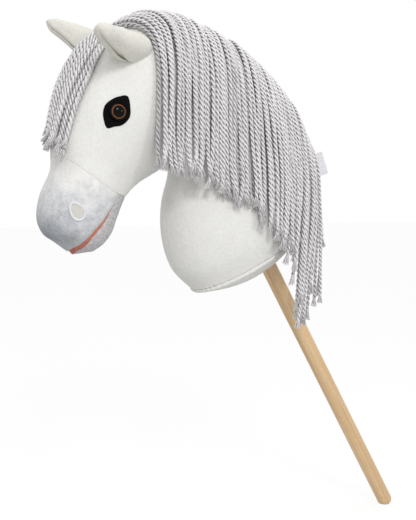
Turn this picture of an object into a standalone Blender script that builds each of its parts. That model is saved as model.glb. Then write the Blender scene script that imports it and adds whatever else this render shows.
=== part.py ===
"""Hobby horse: a stuffed plush horse's head with a yarn mane on a round wooden stick.

Frame: +Z is up in the riding pose, the horse looks along -X and its left side is -Y.
The origin is the centre of the flat on the stick's foot end.
Sizes are in millimetres here, and metre() turns them into Blender's metres.
"""
import math

import bmesh
import bpy
import numpy as np
from mathutils import Matrix, Vector
from mathutils.bvhtree import BVHTree

# Seat gaps, cloth and sewing
GAP = 0.3
PLUSH = 2.5
FELT = 1.0
WADDING_INSET = PLUSH + 0.9
WADDING_SEAM = 1.5 * GAP
ROUNDNESS = 2.1

# Stick, a stock dowel
STICK_RADIUS = 9.0
STICK_LENGTH = 620.0
STICK_LEAN = 31.1
STICK_FOOT_FLAT = 4.0
STICK_FOOT_ROUND = 6.0
STICK_TOP_CHAMFER = 1.0
HOLE_CLEARANCE = 0.5
HOLE_REACH = 20.0

# Sleeve, tie and cap that hold the stick inside the head
SLEEVE_WALL = 1.2
SLEEVE_START = 3.0
SLEEVE_LENGTH = 110.0
TIE_WIDTH = 5.0
TIE_THICKNESS = 1.6
TIE_HEIGHT = 70.0
CAP_WALL = 2.0
CAP_SKIRT = 12.0

# Sewn skin, from the base seam up the neck, over the poll and down to the muzzle
# Each row: crest x, crest z, throat x, throat z, half width, fullness towards the crest
SECTIONS = (
    (-150.0, 360.0, -286.0, 290.0, 46.0, 0.00),
    (-139.0, 376.0, -309.0, 313.0, 54.0, 0.00),
    (-133.0, 394.0, -320.0, 348.0, 57.0, 0.00),
    (-138.0, 428.0, -320.0, 382.0, 56.0, 0.00),
    (-164.0, 480.0, -313.0, 407.0, 51.0, 0.00),
    (-210.0, 526.0, -311.0, 417.0, 48.0, 0.00),
    (-270.0, 557.0, -315.0, 421.0, 47.0, 0.05),
    (-335.0, 567.0, -325.0, 419.0, 48.0, 0.10),
    (-388.0, 541.0, -340.0, 411.0, 47.0, 0.10),
    (-421.0, 495.0, -357.0, 401.0, 43.0, 0.12),
    (-440.0, 445.0, -370.0, 388.0, 38.0, 0.10),
    (-452.0, 405.0, -379.0, 369.0, 36.5, 0.05),
    (-458.0, 372.0, -386.0, 353.0, 35.5, 0.00),
    (-453.0, 355.0, -395.0, 342.0, 32.0, 0.00),
    (-444.0, 344.0, -405.0, 335.0, 24.0, 0.00),
)
NOSE_TIP = (-426.0, 332.0)
BASE_BULGE = 21.0

# Places of the seams, as rows of SECTIONS
POLL_SEAM = 7.2
MUZZLE_SEAM = 10.45
MUZZLE_SEAM_DROP = 0.45
NECK_ROWS = 13
HEAD_ROWS = 8
RING_SIDES = 28

# Mouth line in the middle plane, from behind the seam to below the nose, with half widths
MOUTH_LINE = ((-362.0, 418.0), (-385.0, 394.0), (-394.0, 379.0), (-407.0, 362.5),
              (-418.5, 350.5), (-426.0, 339.0), (-430.0, 322.0))
MOUTH_OPENING = 1.8
MOUTH_CLOSED_POINTS = 3
LIP_DEPTH = 0.5

# Space round the muzzle that the mouth's cutters fill: front, rear, low, high and half depth
CUT_FRONT = -500.0
CUT_REAR = -320.0
CUT_LOW = 290.0
CUT_HIGH = 480.0
CUT_HALF = 80.0

# Eyes, their felt patches and the nostrils, placed by row and angle on the skin
EYE_ROW = 8.85
EYE_ANGLE = 73.4
EYE_RADIUS = 8.2
EYE_DOME = 5.5
EYE_RIM = 1.0
EYE_POST_RADIUS = 2.4
EYE_POST = 14.0
WASHER_RADIUS = 8.5
WASHER_THICKNESS = 1.5
HEAD_CURVE = 45.0
DOME_STEPS = 6
EYE_PATCH_OUTLINE = ((10.0, 15.5), (12.5, 6.5), (12.0, -4.0), (5.0, -11.5), (-3.0, -13.5),
                     (-10.0, -15.0), (-13.0, -8.0), (-13.5, 0.0), (-11.0, 7.0), (-5.0, 12.0),
                     (2.0, 15.0))
NOSTRIL_ROW = 11.62
NOSTRIL_ANGLE = 70.5
NOSTRIL_LENGTH = 15.5
NOSTRIL_WIDTH = 10.5
NOSTRIL_TILT = -35.0
NOSTRIL_BORDER = 2.0
NOSTRIL_TAPER = 0.22
NOSTRIL_FELT = 0.5
NOSTRIL_POINTS = 20
STITCH_HEIGHT = 1.0
STITCH_SHOULDER = 0.6

# Ears: a leaf rolled almost shut into a cone, whose slit looks down and forward
EAR_SINK = 8.0
EAR_LENGTH = 71.0
EAR_RADIUS = 18.5
EAR_DEPTH = 0.8
EAR_TIP_RADIUS = 7.0
EAR_TAPER = 1.6
EAR_CORNER = 0.85
EAR_CORNER_CUT = 0.4
EAR_CLOTH = 2.2
EAR_LINING = 1.2
EAR_LINING_SEAT = 0.9
EAR_LINING_WIDTH = 0.94
EAR_LINING_END = 0.86
EAR_END = 0.99
EAR_MIDDLE = 0.6
EAR_OPEN_BASE = 170.0
EAR_OPEN_MIDDLE = 148.0
EAR_OPEN_TIP = 158.0

# Each ear: its side, the row and angle of its base, its aim, the side its slit is on, and its bend
EAR_LEFT = {"side": 1, "row": 7.85, "angle": 41.0, "aim": (-0.78, -0.62, 0.01),
            "opening": (-0.30, -0.30, -0.85), "bend": 6.0}
EAR_RIGHT = {"side": -1, "row": 7.65, "angle": 41.0, "aim": (-0.81, 0.38, 0.46),
             "opening": (-0.45, -0.50, -0.75), "bend": -2.0}

# Mane: cords sewn along the crest, draped over the left side in locks
CORDS_PER_LOCK = 5
MANE_LOCKS = 8
MANE_SECTIONS = 4
MANE_FRONT = -357.0
MANE_REAR = -143.0
MANE_LEAD = 16.0
MANE_LENGTH = 216.0
MANE_LENGTH_SWING = 6.0
MANE_WAVES = (2.4, 0.7)
VALLEY_TRIM = 5.0
MANE_FRONT_TRIM = 34.0
MANE_TRIMMED_SHARE = 0.3
MANE_TAIL_EXTRA = 26.0
MANE_TAIL_PLACE = 0.86
MANE_TAIL_SHARE = 0.09
CORD_DIAMETER = 5.6
CORD_VALLEY = 0.62
LOCK_GAP = 2.0
MANE_REAR_DRIFT = 18.0
MANE_ROWS = 11
ROW_CROWDING = 1.6
DRAPE_DROP = 40.0
DRAPE_TURN = 5.0
DRAPE_TURNS = 18
DRAPE_STEP = 6.0
DRAPE_STEPS = 39
LEAD_STEPS = 5
DRIFT_STEPS = 12
RAY_HEIGHT = 900.0
MANE_AXIS_LIFT = 4.5
TAPE_HALF_WIDTH = 4.0
TAPE_THICKNESS = 0.9
CORD_SEAT = GAP + TAPE_THICKNESS + GAP
TAPE_FRONT_ROW = 7.85
TAPE_REAR_ROW = 3.15
TAPE_ROWS = 20

# Forelock: cords from the poll down over the forehead
FORELOCK_ROOT_ROW = 7.75
FORELOCK_LENGTH = 132.0
FORELOCK_CORDS = 4
FORELOCK_EDGES = (-21.0, -1.0, 19.0)
FORELOCK_ROOT_SHARE = 0.5
FORELOCK_SPREAD = 45.0
FORELOCK_LIFT = 2.5
FORELOCK_THICKNESS = 8.0
FORELOCK_ROWS = 11
FORELOCK_RUN = 3.2
FORELOCK_STEPS = 59
FORELOCK_SWING = 5.0
FORELOCK_WAVE = 2.1

# Label: an unprinted ribbon loop sewn into the crest seam
LABEL_ROW = 2.86
LABEL_LENGTH = 30.0
LABEL_WIDTH = 26.0
LABEL_RIBBON = 0.6
LABEL_LOOP = 1.2


def metre(value):
    """Millimetres to metres."""
    return value * 0.001


def clear_scene():
    """Remove every object and collection that the file opened with."""
    for item in list(bpy.data.objects):
        bpy.data.objects.remove(item, do_unlink=True)
    for group in list(bpy.data.collections):
        bpy.data.collections.remove(group)


def make_collections():
    """One collection for the parts and one for the cutters."""
    parts = bpy.data.collections.new("hobby_horse")
    cutters = bpy.data.collections.new("cutters")
    bpy.context.scene.collection.children.link(parts)
    bpy.context.scene.collection.children.link(cutters)
    return parts, cutters


def make_material(name, color, roughness):
    """A plain Principled material."""
    material = bpy.data.materials.new(name)
    material.use_nodes = True
    shader = material.node_tree.nodes["Principled BSDF"]
    shader.inputs["Base Color"].default_value = (*color, 1.0)
    shader.inputs["Roughness"].default_value = roughness
    material.diffuse_color = (*color, 1.0)
    return material


clear_scene()
PARTS, CUTTERS = make_collections()
PLUSH_WHITE = make_material("white_plush", (0.82, 0.81, 0.78), 0.9)
PLUSH_GREY = make_material("grey_plush", (0.50, 0.53, 0.57), 0.9)
PLUSH_CHIN = make_material("chin_plush", (0.62, 0.62, 0.63), 0.9)
MOUTH_PINK = make_material("mouth_felt", (0.66, 0.30, 0.24), 0.85)
EAR_CREAM = make_material("cream_plush", (0.78, 0.76, 0.68), 0.9)
BLACK_FELT = make_material("black_felt", (0.01, 0.01, 0.012), 0.9)
EYE_PLASTIC = make_material("eye_plastic", (0.012, 0.009, 0.008), 0.08)
WASHER_PLASTIC = make_material("washer_plastic", (0.75, 0.75, 0.73), 0.5)
THREAD_WHITE = make_material("white_thread", (0.85, 0.85, 0.86), 0.6)
YARN_GREY = make_material("grey_yarn", (0.52, 0.52, 0.54), 0.55)
RIBBON_WHITE = make_material("white_ribbon", (0.80, 0.80, 0.84), 0.45)
BEECH = make_material("beech", (0.62, 0.40, 0.21), 0.5)
COTTON = make_material("cotton", (0.74, 0.71, 0.64), 0.9)
WADDING = make_material("wadding", (0.86, 0.86, 0.84), 0.95)


# Placing and building meshes

def unit(vector):
    """Unit vector as a numpy array."""
    vector = np.asarray(vector, float)
    return vector / np.linalg.norm(vector)


def add_object(name, mesh, material=None, collection=None):
    """Put a mesh in the scene as a named object."""
    item = bpy.data.objects.new(name, mesh)
    (collection or PARTS).objects.link(item)
    if material:
        mesh.materials.append(material)
    return item


def mesh_from(name, points, faces, origin=(0.0, 0.0, 0.0)):
    """A mesh in metres from points in millimetres, about an origin, with faces turned outwards."""
    mesh = bpy.data.meshes.new(name)
    shift = np.asarray(origin, float)
    mesh.from_pydata([tuple((np.asarray(p) - shift) * 0.001) for p in points], [], faces)
    work = bmesh.new()
    work.from_mesh(mesh)
    bmesh.ops.recalc_face_normals(work, faces=work.faces)
    work.to_mesh(mesh)
    work.free()
    mesh.shade_smooth()
    mesh.set_sharp_from_angle(angle=math.radians(50))
    return mesh


def place(item, origin):
    """Set an object's location from millimetres."""
    item.location = Vector(origin) * 0.001
    return item


def sheet_solid(name, outer, inner, material, origin=(0.0, 0.0, 0.0)):
    """Closed piece between two grids of the same rows and columns."""
    rows = len(outer)
    cols = len(outer[0])
    points = [p for row in outer for p in row] + [p for row in inner for p in row]
    offset = rows * cols
    faces = []
    for r in range(rows - 1):
        for c in range(cols - 1):
            a = r * cols + c
            faces.append((a, a + 1, a + cols + 1, a + cols))
            faces.append((offset + a, offset + a + cols, offset + a + cols + 1, offset + a + 1))
    rim = [c for c in range(cols)]
    rim += [r * cols + cols - 1 for r in range(1, rows)]
    rim += [(rows - 1) * cols + c for c in range(cols - 2, -1, -1)]
    rim += [r * cols for r in range(rows - 2, 0, -1)]
    for a, b in zip(rim, rim[1:] + rim[:1]):
        faces.append((a, offset + a, offset + b, b))
    mesh = mesh_from(name, points, faces, origin)
    return place(add_object(name, mesh, material), origin)


def ring_solid(name, rings, material, start=None, end=None, collection=None):
    """Closed loft through rings: a centre point closes each end, or the last ring joins the first."""
    sides = len(rings[0])
    points = [p for ring in rings for p in ring]
    faces = []
    pairs = list(range(len(rings) - 1))
    for r in pairs:
        for c in range(sides):
            a = r * sides + c
            b = r * sides + (c + 1) % sides
            faces.append((a, b, b + sides, a + sides))
    last = (len(rings) - 1) * sides
    if start is None:
        for c in range(sides):
            d = (c + 1) % sides
            faces.append((last + c, last + d, d, c))
    else:
        points += [start, end]
        for c in range(sides):
            d = (c + 1) % sides
            faces.append((len(points) - 2, d, c))
            faces.append((len(points) - 1, last + c, last + d))
    mesh = mesh_from(name, points, faces)
    return add_object(name, mesh, material, collection)


def turned(name, profile, material, place_at, aim, sides=24, closed=False, collection=None):
    """A turned piece: a profile of (radius, height) swept round the aim direction by Screw."""
    mesh = bpy.data.meshes.new(name)
    edges = [(i, i + 1) for i in range(len(profile) - 1)]
    if closed:
        edges.append((len(profile) - 1, 0))
    mesh.from_pydata([(metre(r), 0.0, metre(h)) for r, h in profile], edges, [])
    item = add_object(name, mesh, material, collection)
    screw = item.modifiers.new("turn", "SCREW")
    screw.steps = sides
    screw.render_steps = sides
    screw.use_merge_vertices = True
    screw.merge_threshold = 0.00001
    screw.use_smooth_shade = True
    item.rotation_mode = "QUATERNION"
    item.rotation_quaternion = Vector(aim).to_track_quat("Z", "Y")
    return place(item, place_at)


def as_cutter(item):
    """Mark an object as a cutter, which isn't part of the model."""
    item.hide_render = True
    item.display_type = "WIRE"
    return item


def cut(item, cutter, operation="DIFFERENCE"):
    """Add an exact Boolean with a cutter."""
    step = item.modifiers.new(operation.lower() + "_" + cutter.name, "BOOLEAN")
    step.operation = operation
    step.object = cutter
    step.solver = "EXACT"


def prism(name, outline, half_depth):
    """Cutter: an outline in the middle plane, given depth along Y both ways."""
    work = bmesh.new()
    face = work.faces.new([work.verts.new((metre(x), metre(-half_depth), metre(z))) for x, z in outline])
    grown = bmesh.ops.extrude_face_region(work, geom=[face])
    moved = [v for v in grown["geom"] if isinstance(v, bmesh.types.BMVert)]
    bmesh.ops.translate(work, vec=(0.0, metre(2 * half_depth), 0.0), verts=moved)
    bmesh.ops.recalc_face_normals(work, faces=work.faces)
    mesh = bpy.data.meshes.new(name)
    work.to_mesh(mesh)
    work.free()
    return as_cutter(add_object(name, mesh, None, CUTTERS))


# The skin's form: sections fan from the base round the throat to the nose

FORM = np.array(SECTIONS)
LAST_ROW = len(SECTIONS) - 1


def section_at(row):
    """Section values at a row number, on a smooth curve through the sections."""
    row = min(max(row, 0.0), LAST_ROW - 1e-9)
    i = int(row)
    t = row - i
    p1 = FORM[i]
    p2 = FORM[i + 1]
    p0 = FORM[i - 1] if i > 0 else 2 * p1 - p2
    p3 = FORM[i + 2] if i + 2 <= LAST_ROW else 2 * p2 - p1
    return 0.5 * (2 * p1 + (p2 - p0) * t + (2 * p0 - 5 * p1 + 4 * p2 - p3) * t ** 2
                  + (3 * p1 - p0 - 3 * p2 + p3) * t ** 3)


def skin_point(row, angle):
    """Point of the skin: angle 0 is the crest, 90 the left side, 180 the throat."""
    top_x, top_z, low_x, low_z, half_width, fullness = section_at(row)
    cosine = math.cos(math.radians(angle))
    sine = math.sin(math.radians(angle))
    along = math.copysign(abs(cosine) ** (2 / ROUNDNESS), cosine)
    side = math.copysign(abs(sine) ** (2 / ROUNDNESS), sine)
    centre = np.array([(top_x + low_x) / 2, 0.0, (top_z + low_z) / 2])
    reach = np.array([(top_x - low_x) / 2, 0.0, (top_z - low_z) / 2])
    width = half_width * side * (1 + fullness * cosine)
    return centre + reach * along - np.array([0.0, width, 0.0])


def skin_slopes(row, angle):
    """Slopes of the skin along a row number and along an angle in degrees."""
    step = 0.002
    low = max(row - step, 0.0)
    high = min(row + step, LAST_ROW - 1e-6)
    along_row = (skin_point(high, angle) - skin_point(low, angle)) / (high - low)
    along_angle = (skin_point(row, angle + 0.1) - skin_point(row, angle - 0.1)) / 0.2
    return along_row, along_angle


def skin(row, angle, lift=0.0):
    """Skin point raised along the skin's normal."""
    along_row, along_angle = skin_slopes(row, angle)
    return skin_point(row, angle) + unit(np.cross(along_row, along_angle)) * lift


def shifted_row(row, angle, distance):
    """Row number at a distance along the skin from a row."""
    return row + distance / np.linalg.norm(skin_slopes(row, angle)[0])


def shifted_angle(row, angle, distance):
    """Angle at a distance round the skin from an angle."""
    return angle + distance / np.linalg.norm(skin_slopes(row, angle)[1])


def muzzle_seam(angle):
    """Row of the muzzle seam: it drops back under the jaw."""
    turn = abs((angle + 180.0) % 360.0 - 180.0)
    t = min(max((turn - 100.0) / 80.0, 0.0), 1.0)
    return MUZZLE_SEAM - MUZZLE_SEAM_DROP * t * t * (3 - 2 * t)


def ring_angles():
    """Angles of the vertices round a full ring."""
    return [360.0 * k / RING_SIDES for k in range(RING_SIDES)]


BASE_CENTRE = sum(skin_point(0.0, angle) for angle in ring_angles()) / RING_SIDES
BASE_NORMAL = unit((SECTIONS[0][1] - SECTIONS[0][3], 0.0, SECTIONS[0][2] - SECTIONS[0][0]))
NOSE_NORMAL = unit(np.array([NOSE_TIP[0], 0.0, NOSE_TIP[1]])
                   - sum(skin_point(LAST_ROW, a) for a in ring_angles()) / RING_SIDES)


def base_point(edge, share, lift):
    """Point of the bulged base: share 1 is its edge, 0 its middle."""
    flat = BASE_CENTRE + (edge - BASE_CENTRE) * share
    return flat + BASE_NORMAL * (BASE_BULGE * (1 - share ** 2) + lift)


def nose_point(lift):
    """Foremost point of the muzzle, raised."""
    return np.array([NOSE_TIP[0], 0.0, NOSE_TIP[1]]) + NOSE_NORMAL * lift


# Stick and what holds it

STICK_AIM = unit((-math.sin(math.radians(STICK_LEAN)), 0.0, math.cos(math.radians(STICK_LEAN))))
BASE_HEIGHT = float(BASE_CENTRE @ BASE_NORMAL / (STICK_AIM @ BASE_NORMAL))
SLEEVE_INNER = STICK_RADIUS + GAP
SLEEVE_OUTER = SLEEVE_INNER + SLEEVE_WALL
BASE_LOW = BASE_HEIGHT + BASE_BULGE / float(STICK_AIM @ BASE_NORMAL)
SLEEVE_LOW = BASE_LOW + SLEEVE_START
SLEEVE_HIGH = SLEEVE_LOW + SLEEVE_LENGTH
TIE_LOW = SLEEVE_LOW + TIE_HEIGHT
TIE_INNER = SLEEVE_OUTER + GAP
TIE_OUTER = TIE_INNER + TIE_THICKNESS
CAP_INNER = STICK_RADIUS + GAP
CAP_OUTER = CAP_INNER + CAP_WALL
CAP_LOW = STICK_LENGTH - CAP_SKIRT
CAP_HIGH = STICK_LENGTH + GAP + CAP_WALL


def tube_profile(inner, outer, low, high):
    """Profile of a plain ring or tube."""
    return ((inner, high), (outer, high), (outer, low), (inner, low))


def make_stick():
    """Dowel with a rounded foot that ends in a small flat."""
    profile = [(0.0, STICK_LENGTH), (STICK_RADIUS - STICK_TOP_CHAMFER, STICK_LENGTH),
               (STICK_RADIUS, STICK_LENGTH - STICK_TOP_CHAMFER)]
    for k in range(5):
        turn = math.radians(90.0 * k / 4)
        radius = STICK_FOOT_FLAT + (STICK_RADIUS - STICK_FOOT_FLAT) * math.cos(turn)
        profile.append((radius, STICK_FOOT_ROUND * (1 - math.sin(turn))))
    profile.append((0.0, 0.0))
    turned("stick", profile, BEECH, (0, 0, 0), STICK_AIM, sides=32)


def make_stick_holders():
    """Cotton sleeve, tie round it, and cap on the stick's top end."""
    turned("stick_sleeve", tube_profile(SLEEVE_INNER, SLEEVE_OUTER, SLEEVE_LOW, SLEEVE_HIGH),
           COTTON, (0, 0, 0), STICK_AIM, closed=True)
    turned("sleeve_tie", tube_profile(TIE_INNER, TIE_OUTER, TIE_LOW, TIE_LOW + TIE_WIDTH),
           WASHER_PLASTIC, (0, 0, 0), STICK_AIM, closed=True)
    cap = ((0.0, CAP_HIGH), (CAP_OUTER, CAP_HIGH), (CAP_OUTER, CAP_LOW), (CAP_INNER, CAP_LOW),
           (CAP_INNER, STICK_LENGTH + GAP), (0.0, STICK_LENGTH + GAP))
    turned("stick_end_cap", cap, WASHER_PLASTIC, (0, 0, 0), STICK_AIM)


def stick_bore_cutter():
    """Stepped cutter for the room that the stick, sleeve, tie and cap take in the wadding."""
    steps = (
        (SLEEVE_OUTER + GAP, BASE_LOW - HOLE_REACH, TIE_LOW - GAP),
        (TIE_OUTER + GAP, TIE_LOW - GAP, TIE_LOW + TIE_WIDTH + GAP),
        (SLEEVE_OUTER + GAP, TIE_LOW + TIE_WIDTH + GAP, SLEEVE_HIGH + GAP),
        (STICK_RADIUS + GAP, SLEEVE_HIGH + GAP, CAP_LOW - GAP),
        (CAP_OUTER + GAP, CAP_LOW - GAP, CAP_HIGH + GAP),
    )
    profile = [(0.0, steps[-1][2])]
    for radius, low, high in reversed(steps):
        profile += [(radius, high), (radius, low)]
    profile.append((0.0, steps[0][1]))
    return as_cutter(turned("stick_bore", profile, None, (0, 0, 0), STICK_AIM, collection=CUTTERS))


def hole_cutter(name, radius, low, high, place_at, aim):
    """Plain round cutter between two heights along its aim."""
    profile = ((0.0, high), (radius, high), (radius, low), (0.0, low))
    return as_cutter(turned(name, profile, None, place_at, aim, collection=CUTTERS))


# Skin panels and wadding

def side_panel(name, side, first_row, last_row, rows, material):
    """Left (side 1) or right (side -1) panel between the crest seam and the throat seam."""
    half = RING_SIDES // 2
    outer = []
    inner = []
    for r in range(rows + 1):
        line_out = []
        line_in = []
        for c in range(half + 1):
            angle = 180.0 * c / half
            low = shifted_row(first_row(angle), angle, GAP / 2)
            high = shifted_row(last_row(angle), angle, -GAP / 2)
            row = low + (high - low) * r / rows
            if c == 0:
                angle = shifted_angle(row, angle, GAP / 2)
            if c == half:
                angle = shifted_angle(row, angle, -GAP / 2)
            line_out.append(skin(row, side * angle))
            line_in.append(skin(row, side * angle, -PLUSH))
        outer.append(line_out)
        inner.append(line_in)
    return sheet_solid(name, outer, inner, material)


def base_edge(angle):
    """Row 0, a gap above the base panel."""
    return 0.0


def poll_edge(angle):
    """Seam between the neck and the head, from the poll to the throat."""
    return POLL_SEAM


def make_side_panels():
    """Two neck panels and two head panels."""
    for side, word in ((1, "left"), (-1, "right")):
        side_panel("neck_panel_" + word, side, base_edge, poll_edge, NECK_ROWS, PLUSH_WHITE)
        side_panel("head_panel_" + word, side, poll_edge, muzzle_seam, HEAD_ROWS, PLUSH_WHITE)


def make_base_panel(stick_hole):
    """Bulged panel that closes the neck, with the hole for the stick."""
    shares = (0.3, 0.6, 0.85, 1.0)
    edges = [skin_point(0.0, angle) for angle in ring_angles()]
    rings = [[base_point(e, share, GAP) for e in edges] for share in shares]
    rings += [[base_point(e, share, GAP + PLUSH) for e in edges] for share in reversed(shares)]
    middle = BASE_CENTRE
    panel = ring_solid("base_panel", rings, PLUSH_WHITE, base_point(middle, 0.0, GAP),
                       base_point(middle, 0.0, GAP + PLUSH))
    cut(panel, stick_hole)


def muzzle_rings(lift, seam_shift):
    """Rings from the muzzle seam to the nose at one lift."""
    shares = (0.0, 0.25, 0.5, 0.72, 0.88, 1.0)
    rings = []
    for share in shares:
        ring = []
        for angle in ring_angles():
            low = shifted_row(muzzle_seam(angle), angle, seam_shift)
            ring.append(skin(low + (LAST_ROW - 1e-3 - low) * share, angle, lift))
        rings.append(ring)
    return rings


def muzzle_shell(name, material, outer_lift, inner_lift):
    """Open cup of cloth round the muzzle, before the mouth line cuts it."""
    outside = muzzle_rings(outer_lift, GAP / 2)
    inside = muzzle_rings(inner_lift, GAP / 2)
    return ring_solid(name, list(reversed(inside)) + outside, material,
                      nose_point(inner_lift), nose_point(outer_lift))


def mouth_edge(side, extra):
    """Mouth line moved towards the nose (side 1) or the chin (side -1)."""
    line = [np.array(p) for p in MOUTH_LINE]
    edge = []
    for i, here in enumerate(line):
        before = line[max(i - 1, 0)]
        after = line[min(i + 1, len(line) - 1)]
        along = unit(after - before)
        across = np.array([-along[1], along[0]]) * -side
        opened = max(i - MOUTH_CLOSED_POINTS + 1, 0) / 2
        half = GAP / 2 + MOUTH_OPENING * min(1.0, opened)
        edge.append(here + across * (half + extra))
    return [tuple(p) for p in edge]


def make_muzzle():
    """Grey muzzle panel, chin panel and the pink lining between the lips."""
    chin_corners = [(CUT_REAR, CUT_LOW), (CUT_REAR, CUT_HIGH)]
    nose_corners = [(CUT_FRONT, CUT_LOW), (CUT_FRONT, CUT_HIGH), (MOUTH_LINE[0][0], CUT_HIGH)]
    corner = MOUTH_LINE[MOUTH_CLOSED_POINTS - 1][0]
    chin_side = prism("chin_side", mouth_edge(1, 0.0) + chin_corners, CUT_HALF)
    nose_side = prism("nose_side", mouth_edge(-1, 0.0) + nose_corners, CUT_HALF)
    chin_lip = prism("chin_lip", mouth_edge(-1, -GAP) + chin_corners, CUT_HALF)
    nose_lip = prism("nose_lip", mouth_edge(1, -GAP) + nose_corners, CUT_HALF)
    behind = prism("behind_mouth", ((corner, CUT_HIGH), (corner, CUT_LOW), (CUT_REAR, CUT_LOW),
                                    (CUT_REAR, CUT_HIGH)), CUT_HALF)
    muzzle = muzzle_shell("muzzle_panel", PLUSH_GREY, 0.0, -PLUSH)
    cut(muzzle, chin_side)
    chin = muzzle_shell("chin_panel", PLUSH_CHIN, 0.0, -PLUSH)
    cut(chin, nose_side)
    lining = muzzle_shell("mouth_lining", MOUTH_PINK, -LIP_DEPTH, -PLUSH)
    cut(lining, chin_lip)
    cut(lining, nose_lip)
    cut(lining, behind)


def wadding_ring(row_of, shift):
    """Ring of the wadding's surface, just inside the skin."""
    return [skin(shifted_row(row_of(a), a, shift), a, -WADDING_INSET) for a in ring_angles()]


def wadding_rows(first_row, last_row, rows, first_shift, last_shift):
    """Rings of wadding between two seams."""
    rings = []
    for r in range(rows + 1):
        ring = []
        for angle in ring_angles():
            low = shifted_row(first_row(angle), angle, first_shift)
            high = shifted_row(last_row(angle), angle, last_shift)
            ring.append(skin(low + (high - low) * r / rows, angle, -WADDING_INSET))
        rings.append(ring)
    return rings


def mean_point(ring):
    """Centre of a ring."""
    return sum(ring) / len(ring)


def make_wadding(bore, washer_pockets):
    """Wadding of the neck, the head and the muzzle, with room for the stick and the eyes."""
    edge = wadding_ring(base_edge, 0.0)
    dome = [[base_point(p, share, 0.0) for p in edge] for share in (0.3, 0.6, 0.85)]
    rings = dome + wadding_rows(base_edge, poll_edge, NECK_ROWS, GAP / 2, -WADDING_SEAM)
    neck = ring_solid("stuffing_neck", rings, WADDING, base_point(BASE_CENTRE, 0.0, 0.0),
                      mean_point(rings[-1]))
    cut(neck, bore)
    rings = wadding_rows(poll_edge, muzzle_seam, HEAD_ROWS, WADDING_SEAM, -WADDING_SEAM)
    head = ring_solid("stuffing_head", rings, WADDING, mean_point(rings[0]), mean_point(rings[-1]))
    for pocket in washer_pockets:
        cut(head, pocket)
    rings = muzzle_rings(-WADDING_INSET, WADDING_SEAM)
    ring_solid("stuffing_muzzle", rings, WADDING, mean_point(rings[0]), nose_point(-WADDING_INSET))


# Eyes and nostrils

def skin_frame(row, angle):
    """Place, backward, upward and outward directions of a spot on the skin."""
    along_row, along_angle = skin_slopes(row, angle)
    outward = unit(np.cross(along_row, along_angle))
    upward = np.array([0.0, 0.0, 1.0])
    upward = unit(upward - outward * (upward @ outward))
    backward = np.array([1.0, 0.0, 0.0])
    backward = unit(backward - outward * (backward @ outward) - upward * (backward @ upward))
    return skin_point(row, angle), backward, upward, outward


def form_tree(first_row, last_row, rows, sides, lift, extra_tip=False):
    """Search tree of the raised skin between two rows, to rest pieces on it."""
    points = []
    faces = []
    for r in range(rows + 1):
        for c in range(sides):
            row = first_row + (last_row - first_row) * r / rows
            points.append(Vector(skin(row, 360.0 * c / sides, lift)))
    for r in range(rows):
        for c in range(sides):
            d = (c + 1) % sides
            faces.append((r * sides + c, r * sides + d, (r + 1) * sides + d, (r + 1) * sides + c))
    if extra_tip:
        points.append(Vector(nose_point(lift)))
        for c in range(sides):
            faces.append((rows * sides + c, rows * sides + (c + 1) % sides, len(points) - 1))
    return BVHTree.FromPolygons(points, faces)


HEAD_TREE = form_tree(POLL_SEAM, LAST_ROW - 1e-3, 60, 112, 0.0, extra_tip=True)


def drop_to_skin(spot, outward, lift):
    """Move a spot against a direction onto the skin, and leave it raised by a lift."""
    start = Vector(spot + outward * HOLE_REACH)
    hit = HEAD_TREE.ray_cast(start, Vector(-outward))[0]
    return np.array(hit) + outward * lift


def patch_rings(frame, outline, shares, lift, centre=(0.0, 0.0)):
    """Rings of a patch outline, scaled about its centre and laid on the skin."""
    spot, backward, upward, outward = frame
    rings = []
    for share in shares:
        ring = []
        for x, z in outline:
            px = centre[0] + (x - centre[0]) * share
            pz = centre[1] + (z - centre[1]) * share
            ring.append(drop_to_skin(spot + backward * px + upward * pz, outward, lift))
        rings.append(ring)
    return rings


def skin_patch(name, frame, outline, material, low, high, shares=(0.35, 0.7, 1.0)):
    """Felt patch of an outline that lies on the skin."""
    bottom = patch_rings(frame, outline, shares, low)
    top = patch_rings(frame, outline, tuple(reversed(shares)), high)
    spot, _, _, outward = frame
    return ring_solid(name, bottom + top, material, drop_to_skin(spot, outward, low),
                      drop_to_skin(spot, outward, high))


def nostril_outline(grow):
    """Teardrop outline, tilted, grown outwards by an amount."""
    tilt = math.radians(NOSTRIL_TILT)
    points = []
    for k in range(NOSTRIL_POINTS):
        turn = 2 * math.pi * k / NOSTRIL_POINTS
        along = (NOSTRIL_LENGTH / 2 + grow) * math.cos(turn)
        taper = 1.0 - NOSTRIL_TAPER * math.cos(turn)
        across = (NOSTRIL_WIDTH / 2 + grow) * math.sin(turn) * taper
        points.append((across * math.cos(tilt) + along * math.sin(tilt),
                       along * math.cos(tilt) - across * math.sin(tilt)))
    return points


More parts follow.
